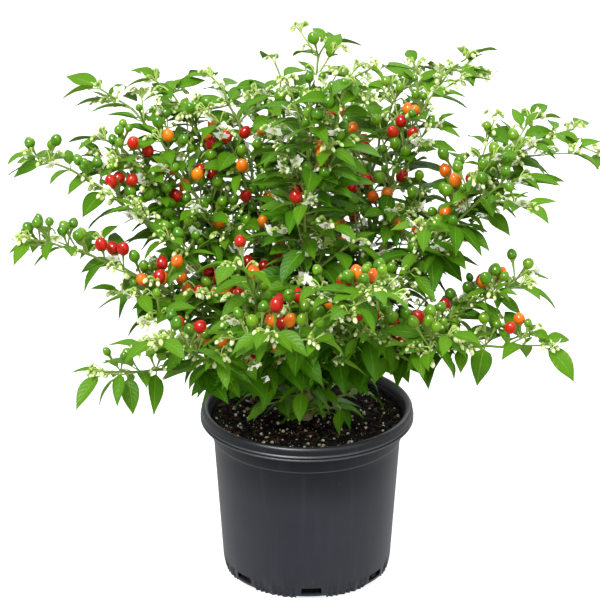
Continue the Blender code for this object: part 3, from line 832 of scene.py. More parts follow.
def berry_count(knot, rng):
    chance, kind = rng.random(), "top" if knot.place.z > FEW_ABOVE else knot.kind
    bears = knot.stage > 0.3 if kind == "inner" else knot.stage < 0.95
    return first_above(chance, BERRY_CHANCES.get(kind, ())) if bears else 0


print("share of ripe berries from the heart outwards:", [share for _, share in EARLY_SHARE])

# %% Where the berries stand
Berry = namedtuple("Berry", "lean path end radius stretch")
BERRY_POSES, STALK_LENGTH, TOUCHING = 6, (0.011, 0.018), -0.0008
LOW_SHOOT, BERRY_RISE = 0.335, 0.025
RIPE_RADIUS, GREEN_RADIUS, YOUNG_RADIUS = (0.0043, 0.0051), (0.0037, 0.0047), (0.0026, 0.0036)
SAME_STAGE, YOUNG_SHARE = 0.8, 0.30
OPEN_AIR, OPEN_RADIUS = (0.009, 0.017), 0.0040


def berry_at(knot, radius, rng):
    """A berry above a knot, in the pose with the most air, or None if it is too crowded."""
    length = rng.uniform(*STALK_LENGTH)
    balls = crowd.near(knot.place, 0.035)
    best = None
    for _ in range(BERRY_POSES):
        lean = (UP + heading_vector(rng.uniform(0, 360)) * rng.uniform(0.1, 0.7)).normalized()
        path, end = stalk_path(knot.place, lean, length, (lean + knot.along * 0.4).normalized())
        room = crowd.room([tuple(end + lean * radius)], balls) - radius
        if best is None or room > best[0]:
            best = (room, Berry(lean, path, end, radius, rng.uniform(1.0, 1.24)))
    rise = BERRY_RISE if knot.ceiling < LOW_SHOOT else 0.0
    highest = max(knot.ceiling + ABOVE_CEILING, knot.place.z + rise)
    return best[1] if best[0] > TOUCHING and best[1].end.z + 2 * radius < highest else None


fruit = {number: {ripeness: [] for ripeness in BERRY_TONES} for number in range(1, len(LIMBS) + 1)}
for index, knot in enumerate(ALL_KNOTS):
    rng = random.Random(20000 + index)
    stage = ripeness_at(knot.place, rng)
    for _ in range(berry_count(knot, rng)):
        ripeness = stage if rng.random() < SAME_STAGE else ripeness_at(knot.place, rng)
        sizes = RIPE_RADIUS
        if ripeness == "green":
            sizes = YOUNG_RADIUS if rng.random() < YOUNG_SHARE else GREEN_RADIUS
        berry = berry_at(knot, rng.uniform(*sizes), rng)
        if berry:
            crowd.keep(tuple(berry.end + berry.lean * berry.radius), berry.radius)
            fruit[knot.limb][ripeness].append(berry)
for berry in [berry for ripe in fruit.values() for berries in ripe.values() for berry in berries]:
    outward = (Vector((berry.end.x, berry.end.y, 0)).normalized() + UP * 0.7).normalized()
    centre = berry.end + berry.lean * berry.radius
    crowd.keep([tuple(centre + outward * reach) for reach in OPEN_AIR], OPEN_RADIUS)
print("berries:", {r: sum(len(f[r]) for f in fruit.values()) for r in BERRY_TONES})

# %% Berry pieces
for number, ripe in fruit.items():
    rng = random.Random(700 + number)
    stalks = Sheaf()
    for ripeness, berries in ripe.items():
        skins = Sheaf()
        for berry in berries:
            add_fruit_stalk(stalks, berry.path, berry.radius, rng.uniform(0.0, 0.3))
            add_berry(skins, berry, rng)
        if berries:
            name = f"{ripeness}_berries_{number:02d}"
            mesh = skins.mesh(name, [BERRY_SKINS[ripeness]], 80)
            stand(name, mesh, [f"berries_{number:02d}"])
    if stalks.count:
        mesh = stalks.mesh("berry_stalks", [stem_green.material])
        stand(f"berry_stalks_{number:02d}", mesh, [f"berries_{number:02d}"])
print("berry pieces:", sum("berr" in name for name in made_faces))

# %% [markdown]
# ## Leaf finishes
# A chilli leaf is a bright mid green, a little glossy, with a pale midrib and six or seven pairs of
# side veins that curve forward. Between the veins the blade swells slightly. The underside is
# paler and dull. Young leaves at the tips are yellow-green. Each of these is one formula on the
# numbers stored in the mesh.

# %% Upper and lower side of a leaf
VEIN_PAIRS, VEIN_LEAN = 7.0, 1.9


def leaf_finish(name, mature, young, rib_tone, gloss, sink):
    finish = Finish(name)
    along, across = finish.stored("along"), abs(finish.stored("across"))
    tint, age = finish.stored("tint"), finish.stored("age")
    rib = 1 - finish.step(across, 0.03, 0.11)
    phase = (along * VEIN_PAIRS - across * VEIN_LEAN).fraction()
    ridge = abs(phase - 0.5) * 2
    vein = finish.step(ridge, 0.80, 0.98) * (1 - finish.step(across, 0.75, 0.98))
    mottle = finish.noise(220.0, 3.0)
    tone = finish.blend(age, young, mature)
    tone = finish.blend(tint * age * 0.45, tone, tuple(c * 0.42 for c in mature))
    tone = finish.blend(mottle * 0.12, tone, young)
    tone = finish.blend(vein * 0.12, tone, rib_tone)
    tone = finish.blend(rib * 0.55, tone, rib_tone)
    edge, dark = finish.step(across, 0.50, 1.0), tuple(c * 0.50 for c in mature)
    tone = finish.blend(edge * age * 0.55, tone, dark)
    fine = finish.noise(2200.0, 2.0)
    swell = (1 - ridge * ridge) * 0.5 * sink - rib * sink - vein * 0.3 * sink
    return finish.wear(
        Base_Color=tone,
        Roughness=gloss + mottle * 0.15,
        Specular_IOR_Level=0.11,
        Normal=finish.bump(swell + fine * 0.10, 0.0005, 0.6),
    )


TOP_TONES = (0.040, 0.172, 0.0012), (0.112, 0.272, 0.006), (0.18, 0.34, 0.030)
UNDER_TONES = (0.062, 0.175, 0.006), (0.19, 0.36, 0.020), (0.22, 0.38, 0.05)
leaf_top = leaf_finish("leaf_top", *TOP_TONES, 0.33, 1.0)
leaf_under = leaf_finish("leaf_under", *UNDER_TONES, 0.60, -1.0)
print("a leaf finish has", len(leaf_top.node_tree.nodes), "nodes")

# %% [markdown]
# ## The shape of a leaf
# Each leaf is a thin closed blade: a grid of points on top, a second grid just under it, and a
# shared edge. Its midrib bends down along an arc, the halves fold up like an open book, and the
# edge is a little wavy. The outline comes from one formula that is widest before the middle and
# ends in a long point. The same blade, white and small, is a petal later on. Leaves in the heart of
# the crown hardly show, so they get a coarser grid.

# %% Faces and outline of a blade


@lru_cache(None)
def blade_faces(rows, columns):
    top = np.arange(rows * columns).reshape(rows, columns)
    under = top.copy()
    inside = np.arange((rows - 2) * (columns - 2)).reshape(rows - 2, columns - 2)
    under[1:-1, 1:-1] = rows * columns + inside

    def quads(g):
        return np.stack([g[:-1, :-1], g[:-1, 1:], g[1:, 1:], g[1:, :-1]], 2).reshape(-1, 4)

    return quads(top), quads(under)[:, ::-1]


@lru_cache(None)
def blade_grid(rows, columns, blunt):
    """Shares along and across a blade, and its half width for a width of two."""
    u = np.linspace(0, 1, rows) ** 0.92
    side = np.linspace(-1, 1, columns)
    v = np.sign(side) * np.abs(side) ** 1.15
    outline = u ** (0.74 - blunt / 2) * (1 - u) ** (1.22 - blunt)
    outline = outline / outline.max()
    return u[:, None], v[None, :], outline[:, None]


along, _, outline = blade_grid(99, 3, 0.0)
print("a leaf is widest at this share of its length:", round(float(along[outline.argmax(), 0]), 2))

# %% A posed blade
Pose = namedtuple("Pose", "base forward up rise drop length width fold roll wave phase")
LEAF_THICKNESS, PETAL_THICKNESS, NARROWEST = 0.00035, 0.0003, 0.00012


def blade_lines(pose, u):
    """The midrib of a posed blade, with the directions across it and out of it."""
    forward, up = np.array(pose.forward), np.array(pose.up)
    side = np.cross(forward, up)
    angle = np.radians(pose.rise + (pose.drop - pose.rise) * u**0.9)
    tangent = np.cos(angle) * forward + np.sin(angle) * up
    steps = np.diff(u, axis=0) * pose.length
    middle = np.vstack([np.zeros(3), np.cumsum((tangent[1:] + tangent[:-1]) / 2 * steps, axis=0)])
    normal = np.cross(side, tangent)
    roll = np.radians(pose.roll * (0.6 + 0.4 * u))
    across = side * np.cos(roll) + normal * np.sin(roll)
    normal = normal * np.cos(roll) - side * np.sin(roll)
    return np.array(pose.base) + middle, across, normal


def add_blade(
    sheaf, pose, rows, columns, thickness=LEAF_THICKNESS, looks=(0, 1), blunt=0.0, **notes
):
    u, v, outline = blade_grid(rows, columns, blunt)
    middle, across, normal = blade_lines(pose, u)
    half = np.maximum(outline * pose.width / 2, NARROWEST)
    fold = math.radians(pose.fold)
    out = v * half * math.cos(fold)
    lift = np.abs(v) * half * math.sin(fold) * (1 - 0.3 * np.abs(v))
    waves = 1.1 * u + pose.phase + 0.25 * np.sign(v)
    lift = lift + half * pose.wave * v**2 * np.sin(2 * math.pi * waves)
    top = middle[:, None] + across[:, None] * out[..., None] + normal[:, None] * lift[..., None]
    under = top - normal[:, None] * (thickness * (1 - v**4) * np.ones_like(u))[..., None]
    points = np.concatenate([top.reshape(-1, 3), under[1:-1, 1:-1].reshape(-1, 3)])
    shares = [np.broadcast_to(share, (rows, columns)) for share in (u, v)]
    along, side = [np.concatenate([share.ravel(), share[1:-1, 1:-1].ravel()]) for share in shares]
    faces = list(zip(blade_faces(rows, columns), looks))
    sheaf.add(points, faces, along=along, across=side, **notes)
    return middle, normal


print("a leaf's blade is", LEAF_THICKNESS * 1000, "mm thick, and a petal's", PETAL_THICKNESS * 1000)

# %% A leaf on its stalk
STALK_STEPS = 3
COARSE, FINE = (6, 5), (9, 5)


def add_leaf(sheaf, pose, stalk, age, tint, grid):
    """A blade on its stalk. The stalk runs on under the blade as a raised midrib."""
    forward, up = np.array(pose.forward), np.array(pose.up)
    angles = np.radians(pose.rise + np.linspace(32, 0, STALK_STEPS))
    steps = np.cos(angles)[:, None] * forward + np.sin(angles)[:, None] * up
    lead_in = np.array(pose.base) + np.cumsum(steps, axis=0) * stalk / STALK_STEPS
    pose = pose._replace(base=tuple(lead_in[-1]))
    middle, normal = add_blade(sheaf, pose, *grid, age=age, tint=tint)
    ridge = (middle - normal * 0.0003)[[1, grid[0] // 2]]
    path = np.vstack([lead_in - steps[0] * stalk / STALK_STEPS, ridge])
    thick = 0.00046 + pose.length * 0.006
    add_tube(sheaf, path, thick * np.array((1.2, 0.9, 0.9, 0.7, 0.2)), 4, look=2, age=0.0, tint=0.5)


print("rows and columns of a leaf in the heart of the crown:", COARSE, "and outside:", FINE)

# %% [markdown]
# ## Leaves on the knots
# Each knot has a big leaf on one side, often a smaller one opposite, and sometimes a tiny new one.
# Leaves shrink towards the tips. High up they arch outward, and low down they hang, because they
# are older and in shade. Every leaf tries a few directions and takes the one with the most air.
# It has to stay under its ceiling, above the crown's ragged lower edge, and short of the crown's
# left and right ends, which belong to the shoot tips.

# %% How a leaf is held
ROLL, HANGING_ROLL, STEEPEST = 38, 12, -86
LEAF_RISE, LEAF_SINK, LEAF_ARCH = (-4, 34), (0, 42), (14, 42)
LEAF_WIDTH, LEAF_FOLD, LEAF_WAVE = (0.41, 0.52), (12, 30), (0.03, 0.10)


def leaf_pose(base, forward, size, hang, rng):
    """A leaf that rises from its stalk and arches over. Where growth hangs, it rises less."""
    rise = rng.uniform(*LEAF_RISE) - hang * rng.uniform(*LEAF_SINK)
    drop = rise - rng.uniform(*LEAF_ARCH) - hang * 6
    roll = ROLL + HANGING_ROLL * hang
    return Pose(
        tuple(base), tuple(forward), (0, 0, 1), rise, max(drop, STEEPEST),
        size, size * rng.uniform(*LEAF_WIDTH), rng.uniform(*LEAF_FOLD),
        rng.uniform(-roll, roll), rng.uniform(*LEAF_WAVE), rng.random(),
    )


def blade_samples(pose):
    u = np.array((0.0, 0.3, 0.5, 0.7, 0.95))[:, None]
    middle, across, _ = blade_lines(pose, u)
    edge = across[2] * pose.width * 0.4
    return np.vstack([middle[1:], middle[2] + edge, middle[2] - edge])


print("a leaf rolls by up to", ROLL, "degrees, and low down by", ROLL + HANGING_ROLL)

# %% Where a leaf may be
LOWER_EDGE, LIFT_IN_FRONT, RAGGED, PARTING = 0.140, 0.42, 0.034, 0.016
SHORT_OF_END, TOO_FAR_OUT, TOO_CROWDED, ABOVE_MIX = 0.006, -0.005, -0.006, 0.003
LEAF_POSES, LEAF_BALL, SIZE_CHANCE, STALK_SHARE = 7, 0.0015, (0.88, 1.12), (0.14, 0.28)


def headroom(tip, knot):
    """Below zero if a leaf's tip is above its ceiling, too far out, or under the ragged edge."""
    ragged = noise.noise(Vector((tip[0], tip[1], 0)) * 38) * RAGGED
    parting = PARTING * math.exp(-((tip[0] / 0.010) ** 2)) if tip[1] < 0 else 0.0
    lowest = MIX_HEIGHT + ABOVE_MIX
    if knot.limb:
        lowest = LOWER_EDGE + LIFT_IN_FRONT * max(-tip[1], 0.0) + ragged
    lowest += parting
    out = min(tip[0] - CAD_LOW.x, CAD_HIGH.x - tip[0]) - SHORT_OF_END
    return min(knot.ceiling + ABOVE_CEILING - tip[2], tip[2] - lowest, out, 0.0)


def grow_leaf(
    sheaf, knot, sign, size, age, rng, grid, spread=(0.6, 0.9), hang=None, tries=LEAF_POSES
):
    """Tries a leaf in several directions and adds the one with the most air round it."""
    base, along = knot.place, knot.along
    hang = hanging(base.z) if hang is None else hang
    balls = crowd.near(base, size * 1.6)
    best = None
    for _ in range(tries):
        back = 0.25 - 0.7 * max(hang, 0.0)
        across = heading_vector(rng.uniform(0, 360)) if along.z > 0.9 else sideways(along) * sign
        flat = along * rng.uniform(back, 0.85) + across * rng.uniform(*spread)
        flat.z = 0
        pose = leaf_pose(base, flat.normalized(), size * rng.uniform(*SIZE_CHANCE), hang, rng)
        samples = blade_samples(pose)
        spare = headroom(samples[3], knot)
        room = crowd.room(samples, balls) + 2 * spare
        if best is None or room > best[0]:
            best = (room, pose, samples, spare)
    if best[3] < TOO_FAR_OUT or best[0] < TOO_CROWDED:
        return 0
    crowd.keep(best[2], LEAF_BALL)
    add_leaf(sheaf, best[1], size * rng.uniform(*STALK_SHARE), age, rng.random(), grid)
    return 1


print("lower edge:", LOWER_EDGE, "m, ceiling of the first knot:", round(ALL_KNOTS[0].ceiling, 3))

# %% Growing the leaves
LEAF_FINISHES = [leaf_top, leaf_under, stem_green.material]
LEAF_SIZE = {
    "base": 0.034, "sprout": 0.017, "wood": 0.041, "inner": 0.039, "shoot": 0.042, "twig": 0.036,
}
LEAF_AGE = {"base": 1.0, "sprout": 0.3, "wood": 1.0, "inner": 0.95, "shoot": 0.82, "twig": 0.75}
NEW_LEAVES, NEW_SIZE, NEW_AGE = (0, 0, 1, 2), (0.009, 0.015), 0.05
HIGH_ABOVE, HIGH_RANGE = 0.30, 0.10
leaf_total = 0


def leaves_at(sheaf, knot, rng):
    """All the leaves of one knot. Returns how many."""
    low, high = hanging(knot.place.z), clamp((knot.place.z - HIGH_ABOVE) / HIGH_RANGE)
    bare = BARE_SHARE.get(knot.limb, 0.12) + 0.04 + 0.26 * high
    if knot.limb == CENTRE_LIMB and knot.kind == "inner":
        bare = 0.0
    if knot.kind in ("inner", "twig") and rng.random() < bare:
        return 0
    age = clamp(LEAF_AGE[knot.kind] * (1.3 - knot.stage) * (1 - 0.48 * high))
    size = LEAF_SIZE[knot.kind] * (1.0 - 0.42 * knot.stage) * (1 + 0.02 * low)
    grid = COARSE if knot.kind in ("wood", "inner") else FINE
    grown = grow_leaf(sheaf, knot, knot.sign, size, age, rng, grid)
    if rng.random() < 0.50 - 0.12 * low - 0.28 * high:
        grown += grow_leaf(sheaf, knot, -knot.sign, size * 0.78, age * 0.9, rng, grid)
    if knot.stage > 0.4:
        for _ in range(rng.choice(NEW_LEAVES)):
            new = rng.uniform(*NEW_SIZE)
            sign = rng.choice((-1, 1))
            grown += grow_leaf(sheaf, knot, sign, new, NEW_AGE, rng, COARSE, hang=-0.8, tries=2)
    if knot.stage == 1.0:
        grown += grow_leaf(sheaf, knot, 0.1, size * 1.15, 0.35, rng, grid, (-0.5, 0.5))
    return grown


for number, skeleton in enumerate(skeletons, 1):
    rng = random.Random(900 + number)
    leaves = Sheaf()
    leaf_total += sum(leaves_at(leaves, knot, rng) for knot in skeleton.knots)
    mesh = leaves.mesh("leaves", LEAF_FINISHES, 60)
    stand(f"leaves_{number:02d}", mesh, shoots_of(number))
rng = random.Random(990)
low_leaves = Sheaf()
leaf_total += sum(leaves_at(low_leaves, knot, rng) for knot in basal_knots)
stand("basal_leaves", low_leaves.mesh("basal_leaves", LEAF_FINISHES, 60), ["main_stem"])
print("leaves:", leaf_total)

# %% [markdown]
# ## Flowers and buds
# Chilli flowers are small white stars that nod on hooked stalks, with dusty pale anthers round a
# pistil. Buds are cream eggs in a green cup. They crowd at the tips and hang in the forks
# further back, most of all high up in the sun. Petals reuse the leaf's blade with a blunter
# outline, and glow a little, as thin white petals do when light comes through them.

# %% Petal, bud and anther finishes
PETAL_FOOT, PETAL_WHITE = (0.66, 0.74, 0.28), (0.95, 0.96, 0.88)
petal_white = Finish("petal_white")
out = petal_white.stored("along")
rays = petal_white.noise(900.0, 1.0)
petal_white.wear(
    Base_Color=petal_white.blend(petal_white.step(out, 0.05, 0.4), PETAL_FOOT, PETAL_WHITE),
    Roughness=0.45 + rays * 0.15,
    Emission_Color=(0.95, 1.0, 0.85, 1),
    Emission_Strength=0.18,
    Normal=petal_white.bump(rays, 0.0003, 0.4),
)
bud_cream = Finish("bud_cream")
out = bud_cream.stored("along")
bud_head = bud_cream.blend(bud_cream.stored("tint"), (0.88, 0.90, 0.55), (0.64, 0.79, 0.24))
bud_cream.wear(
    Base_Color=bud_cream.blend(bud_cream.step(out, 0.15, 0.6), (0.26, 0.46, 0.05), bud_head),
    Roughness=0.4 + bud_cream.noise(800.0) * 0.2,
)
anther = Finish("anther")
anther.wear(
    Base_Color=anther.blend(anther.noise(1500.0), (0.34, 0.30, 0.20), (0.62, 0.60, 0.30)),
    Roughness=0.7,
)
BLOSSOM_FINISHES = [petal_white.material, bud_cream.material, anther.material, stem_green.material]
print("blossom finishes:", [finish.name for finish in BLOSSOM_FINISHES])

# %% Shapes of buds and flowers
BUD_EGG = np.radians(np.linspace(-72, 80, 4))
PETALS, PETAL_RISE, PETAL_DROP, HOOK_STATIONS = 5, (20, 34), (-30, -5), (0, 0.4, 0.75, 1)


def hook_path(base, lean, out, length):
    """A stalk that rises and bends over at its end, so that its flower nods."""
    top = base + lean * length * 0.85
    end = top + (out - UP * 0.7).normalized() * length * 0.30
    pulls = base + lean * length * 0.5, top + lean * length * 0.2
    points = [bezier(base, *pulls, end, t) for t in HOOK_STATIONS]
    return [tuple(p) for p in points], end, (points[-1] - points[-2]).normalized()


def add_bud(sheaf, end, way, size, tint):
    heights = size * (1 + np.sin(BUD_EGG))
    widths = size * 0.66 * np.cos(BUD_EGG)
    path = np.array(end)[None] + np.array(way)[None] * heights[:, None]
    add_tube(sheaf, path, widths, 6, look=1, along=(np.sin(BUD_EGG) + 1) / 2, tint=tint)


def add_flower(sheaf, end, way, size, rng):
    """Five petals round a cup, with five anthers and a pistil."""
    way = Vector(way)
    side = sideways(way)
    other = way.cross(side).normalized()
    start = rng.uniform(0, 360 / PETALS)
    for k in range(PETALS):
        a = math.radians(start + 360 / PETALS * k)
        out = side * math.cos(a) + other * math.sin(a)
        pose = Pose(
            tuple(end + out * 0.0008), tuple(out), tuple(way), rng.uniform(*PETAL_RISE),
            rng.uniform(*PETAL_DROP), size, size * 0.80, 8, 0, 0.05, rng.random(),
        )
        add_blade(sheaf, pose, 5, 3, PETAL_THICKNESS, (0, 0), 0.55, tint=rng.random())
        foot = end + out * 0.0009 + way * 0.0003
        path = [tuple(foot), tuple(foot + way * 0.0012), tuple(foot + way * 0.0030 + out * 0.0004)]
        add_tube(sheaf, path, [0.0002, 0.0005, 0.0003], 4, look=2)
    pistil = [tuple(end), tuple(end + way * 0.0038)]
    add_tube(sheaf, pistil, [0.0004, 0.0003], 4, look=1, along=np.array((0.6, 0.9)))


print("a flower has", PETALS, "petals, and a bud", len(BUD_EGG), "rings")

# %% Where they grow
FLOWER_SHARE, BLOSSOMS_ABOVE, SUNNY = 0.090, 0.026, 0.290
AT_TIP = (4, 5, 7, 9)
IN_SUN, IN_SHADE = ((0, 0, 1, 2), (0, 1, 2, 3, 4)), ((0, 0, 0, 1), (0, 0, 1, 2, 3))
BLOSSOM_STALK, BUD_SIZE, PETAL_SIZE = (0.0065, 0.0125), (0.0018, 0.0030), (0.0056, 0.0070)
counts = {"buds": 0, "flowers": 0}


def blossom_at(sheaf, knot, at_tip, rng):
    """One bud or flower on its hooked stalk, unless a berry is in the way."""
    turn = heading_vector(rng.uniform(0, 360))
    onward = knot.along * (0.9 if at_tip else 0.3)
    lean = (onward + UP * rng.uniform(0.3, 1.1) + turn * 0.75).normalized()
    out = Vector((lean.x, lean.y, 0.01)).normalized()
    path, end, way = hook_path(knot.place, lean, out, rng.uniform(*BLOSSOM_STALK))
    if crowd.room([tuple(end)], crowd.near(end, 0.02)) < -0.0005:
        return
    if end.z > min(knot.ceiling + BLOSSOMS_ABOVE, CAD_HIGH.z + 0.002):
        return
    flowering = rng.random() < FLOWER_SHARE
    size = BUD_SIZE[0] if flowering else rng.uniform(*BUD_SIZE)
    add_tube(sheaf, path, (0.00058, 0.00052, 0.00062, size * 0.66), 4, look=3, tint=1.0)
    if flowering:
        add_flower(sheaf, end, way, rng.uniform(*PETAL_SIZE), rng)
        counts["flowers"] += 1
    else:
        add_bud(sheaf, end, way, size, rng.random())
        counts["buds"] += 1


for number, skeleton in enumerate(skeletons, 1):
    rng = random.Random(1100 + number)
    blossom = Sheaf()
    for knot in skeleton.knots:
        at_tip = knot.stage == 1.0
        if knot.kind == "wood" or (knot.kind == "inner" and not at_tip):
            continue
        light = IN_SUN if knot.place.z > SUNNY else IN_SHADE
        for _ in range(rng.choice(AT_TIP if at_tip else light[knot.stage > 0.3])):
            blossom_at(blossom, knot, at_tip, rng)
    node = "flowers" if LIMBS[number - 1].flowers else "leading_shoot"
    mesh = blossom.mesh("blossom", BLOSSOM_FINISHES, 60)
    stand(f"blossom_{number:02d}", mesh, [f"{node}_{number:02d}"])
print("blossoms:", counts)

# %% [markdown]
# ## Potting mix
# The mix is dark peat with bark chips, fibres and white perlite. One displaced surface gives the
# lumpy ground, and real chips lie on it, because light catches their edges in a way that a bump
# can't copy. The body under the surface matters too: it shows through the slots at the foot.

# %% Soil finishes
peat = Finish("peat")
crumb = peat.noise(700.0, 5.0)
clods = peat.noise(160.0, 3.0)
peat.wear(
    Base_Color=peat.blend(
        peat.step(crumb, 0.48, 0.75),
        (0.0035, 0.0030, 0.0020),
        peat.blend(peat.step(clods, 0.48, 0.68), (0.012, 0.009, 0.005), (0.030, 0.022, 0.011)),
    ),
    Roughness=0.85 + crumb * 0.10,
    Specular_IOR_Level=0.12,
    Normal=peat.bump(crumb * 0.7 + clods * 0.3, 0.0012, 1.0),
)


def grain_finish(name, dark, light, scale, depth, rough=0.8, stretch=(1, 1, 1)):
    finish = Finish(name)
    grain = finish.noise(scale, 4.0, stretch)
    tone = finish.blend(finish.stored("tint"), dark, light)
    pits = finish.step(grain, 0.35, 0.75) * 0.6
    return finish.wear(
        Base_Color=finish.blend(pits, tone, tuple(c * 0.35 for c in dark)),
        Roughness=rough + grain * 0.2,
        Specular_IOR_Level=0.20,
        Normal=finish.bump(grain, depth, 0.8),
    )


CHIP_DARK, CHIP_LIGHT, FLAKY = (0.006, 0.004, 0.003), (0.110, 0.052, 0.024), (1, 1, 0.4)
bark_chip = grain_finish("bark_chip", CHIP_DARK, CHIP_LIGHT, 500.0, 0.0005, 0.7, FLAKY)
perlite = grain_finish("perlite", (0.50, 0.44, 0.20), (0.92, 0.90, 0.80), 1400.0, 0.0004)
fibre = grain_finish("fibre", (0.018, 0.012, 0.007), (0.14, 0.10, 0.05), 900.0, 0.0002)
moss = grain_finish("moss", (0.035, 0.075, 0.006), (0.13, 0.21, 0.02), 1200.0, 0.0004)
print("grain finishes:", [finish.name for finish in (bark_chip, perlite, fibre, moss)])

# %% The ground
SOIL_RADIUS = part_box("potting_mix")[1].x + 0.0008
FLAT_RADIUS = SOIL_RADIUS - 0.0014
RISE_AT_WALL, HEAP, HEAP_WIDTH, CRUMBLE, UNEVEN = 0.0036, 0.0007, 0.022, 0.0006, 0.0006
GROUND_RINGS, GROUND_SIDES = 52, 120
# Radius and height of the rings under the ground, from the pot's floor up
UNDERSIDE = (
    (0.030, 0.0043), (0.0612, 0.0043), (0.0618, 0.0105),
    (0.0632, 0.0150), (0.0701, 0.1110), (0.0722, 0.1160),
)


def ground_height(x, y):
    """The lumpy surface: a shallow bowl that rises to the wall, with a heap round the stem."""
    reach = math.hypot(x, y)
    lumps = noise.fractal(Vector((x, y, 0.0)) * 95, 0.9, 2.2, 4) * 0.0013
    crumbs = noise.noise(Vector((x, y, 3.0)) * 420) * CRUMBLE
    heap = HEAP * math.exp(-((reach / HEAP_WIDTH) ** 2))
    return MIX_HEIGHT + heap + RISE_AT_WALL * (reach / SOIL_RADIUS) ** 3 + lumps + crumbs


mix = Sheaf()
around = [(math.cos(a), math.sin(a)) for a in np.arange(GROUND_SIDES) * 2 * math.pi / GROUND_SIDES]
rings = []
for reach, height in UNDERSIDE:
    lumpy = [reach + UNEVEN * noise.noise(Vector((c, s, height * 30)) * 22) for c, s in around]
    rings.append([(r * c, r * s, height) for r, (c, s) in zip(lumpy, around)])
for reach in np.linspace(SOIL_RADIUS, 0.004, GROUND_RINGS):
    rings.append([(reach * c, reach * s, ground_height(reach * c, reach * s)) for c, s in around])
add_skin(mix, np.array(rings))
stand("mix_ground", mix.mesh("mix_ground", [peat.material], 80), ["potting_mix"])
print("ground:", made_faces["mix_ground"], "triangles, lies in the pot at", MIX_HEIGHT, "m")

# %% Lumps
LUMP_LATITUDE = 58


@lru_cache(None)
def lump_shape(rows, sides):
    """Directions to the corners of a small rounded lump."""
    heights = np.radians(np.linspace(-LUMP_LATITUDE, LUMP_LATITUDE, rows))
    turn = np.arange(sides) * 2 * math.pi / sides
    return np.stack([
        np.cos(heights)[:, None] * np.cos(turn + 0.3 * heights[:, None]),
        np.cos(heights)[:, None] * np.sin(turn + 0.3 * heights[:, None]),
        np.sin(heights)[:, None] * np.ones_like(turn),
    ], 2)


def add_lump(sheaf, place, size, flatten, rng, tint, rough=0.22, grid=(3, 4)):
    """An irregular lump: a bark chip when long and flat, a grain when round."""
    rows, sides = grid
    uneven = np.array([[rng.uniform(-rough, rough) for _ in range(sides)] for _ in range(rows)])
    rings = lump_shape(rows, sides) * (1 + uneven)[..., None]
    spin = Matrix.Rotation(rng.uniform(0, 6.28), 3, "Z")
    spin = spin @ Matrix.Rotation(rng.gauss(0, 0.35), 3, "X")
    spin = spin @ Matrix.Rotation(rng.gauss(0, 0.25), 3, "Y")
    rings = (rings * np.array(size) * np.array((1, 1, flatten))) @ np.array(spin).T
    add_skin(sheaf, rings + np.array(place), tint=tint)


def spot_on_ground(rng, lift):
    reach = FLAT_RADIUS * math.sqrt(rng.uniform(0.006, 0.97))
    turn = rng.uniform(0, 2 * math.pi)
    x, y = reach * math.cos(turn), reach * math.sin(turn)
    return x, y, ground_height(x, y) + lift


print("a spot on the ground:", [round(v, 4) for v in spot_on_ground(random.Random(0), 0.0)])

# %% Bark chips, crumbs, perlite and moss
SLOTS, SLOT_HEADING, LUMPS_PER_SLOT = 7, 273.0, 16
CHIPS, CRUMBS, GRAINS, SPECKS, CHIP_GRID = 330, 1500, 520, 90, (4, 7)

rng = random.Random(41)
chips, grains, crumbs, green_specks = Sheaf(), Sheaf(), Sheaf(), Sheaf()
for _ in range(CHIPS):
    length = rng.uniform(0.0016, 0.0050)
    size = (length, length * rng.uniform(0.25, 0.5), length * 0.5)
    spot, flatten = spot_on_ground(rng, length * 0.08), rng.uniform(0.2, 0.5)
    add_lump(chips, spot, size, flatten, rng, rng.random() ** 2, grid=CHIP_GRID)
for _ in range(CRUMBS):
    length = rng.uniform(0.0006, 0.0019)
    size = (length, length * rng.uniform(0.4, 0.9), length)
    spot, flatten = spot_on_ground(rng, length * 0.2), rng.uniform(0.4, 0.9)
    add_lump(crumbs, spot, size, flatten, rng, rng.random() ** 5)
for _ in range(GRAINS):
    length = 0.00026 + 0.0015 * rng.random() ** 3
    spot = spot_on_ground(rng, length * 0.5)
    add_lump(grains, spot, (length,) * 3, 0.85, rng, rng.random(), 0.15)
for _ in range(SPECKS):
    x, y, z = spot_on_ground(rng, 0.0002)
    stretch = rng.uniform(0.88, 0.985) * FLAT_RADIUS / math.hypot(x, y)
    x, y, length = x * stretch, y * stretch, rng.uniform(0.0004, 0.0012)
    place = (x, y, ground_height(x, y) + length * 0.3)
    add_lump(green_specks, place, (length, length * 0.7, length * 0.6), 0.7, rng, rng.random())
for k in range(1, SLOTS):
    for _ in range(LUMPS_PER_SLOT):
        a = math.radians(SLOT_HEADING + 360 / SLOTS * k + rng.uniform(-7, 7))
        reach, length = rng.uniform(0.0605, 0.0625), rng.uniform(0.0010, 0.0019)
        place = (reach * math.cos(a), reach * math.sin(a), rng.uniform(0.0045, 0.0100))
        add_lump(chips, place, (length,) * 3, 0.8, rng, rng.uniform(0.3, 1.0))
LOOSE = (
    ("bark_chips", chips, bark_chip, 35),
    ("peat_crumbs", crumbs, bark_chip, 35),
    ("perlite_grains", grains, perlite, 60),
    ("moss_specks", green_specks, moss, 60),
)
for name, sheaf, finish, sharp in LOOSE:
    stand(name, sheaf.mesh(name, [finish], sharp), ["potting_mix"])
print("loose pieces of soil:", {name: made_faces[name] for name, *_ in LOOSE}, "triangles")

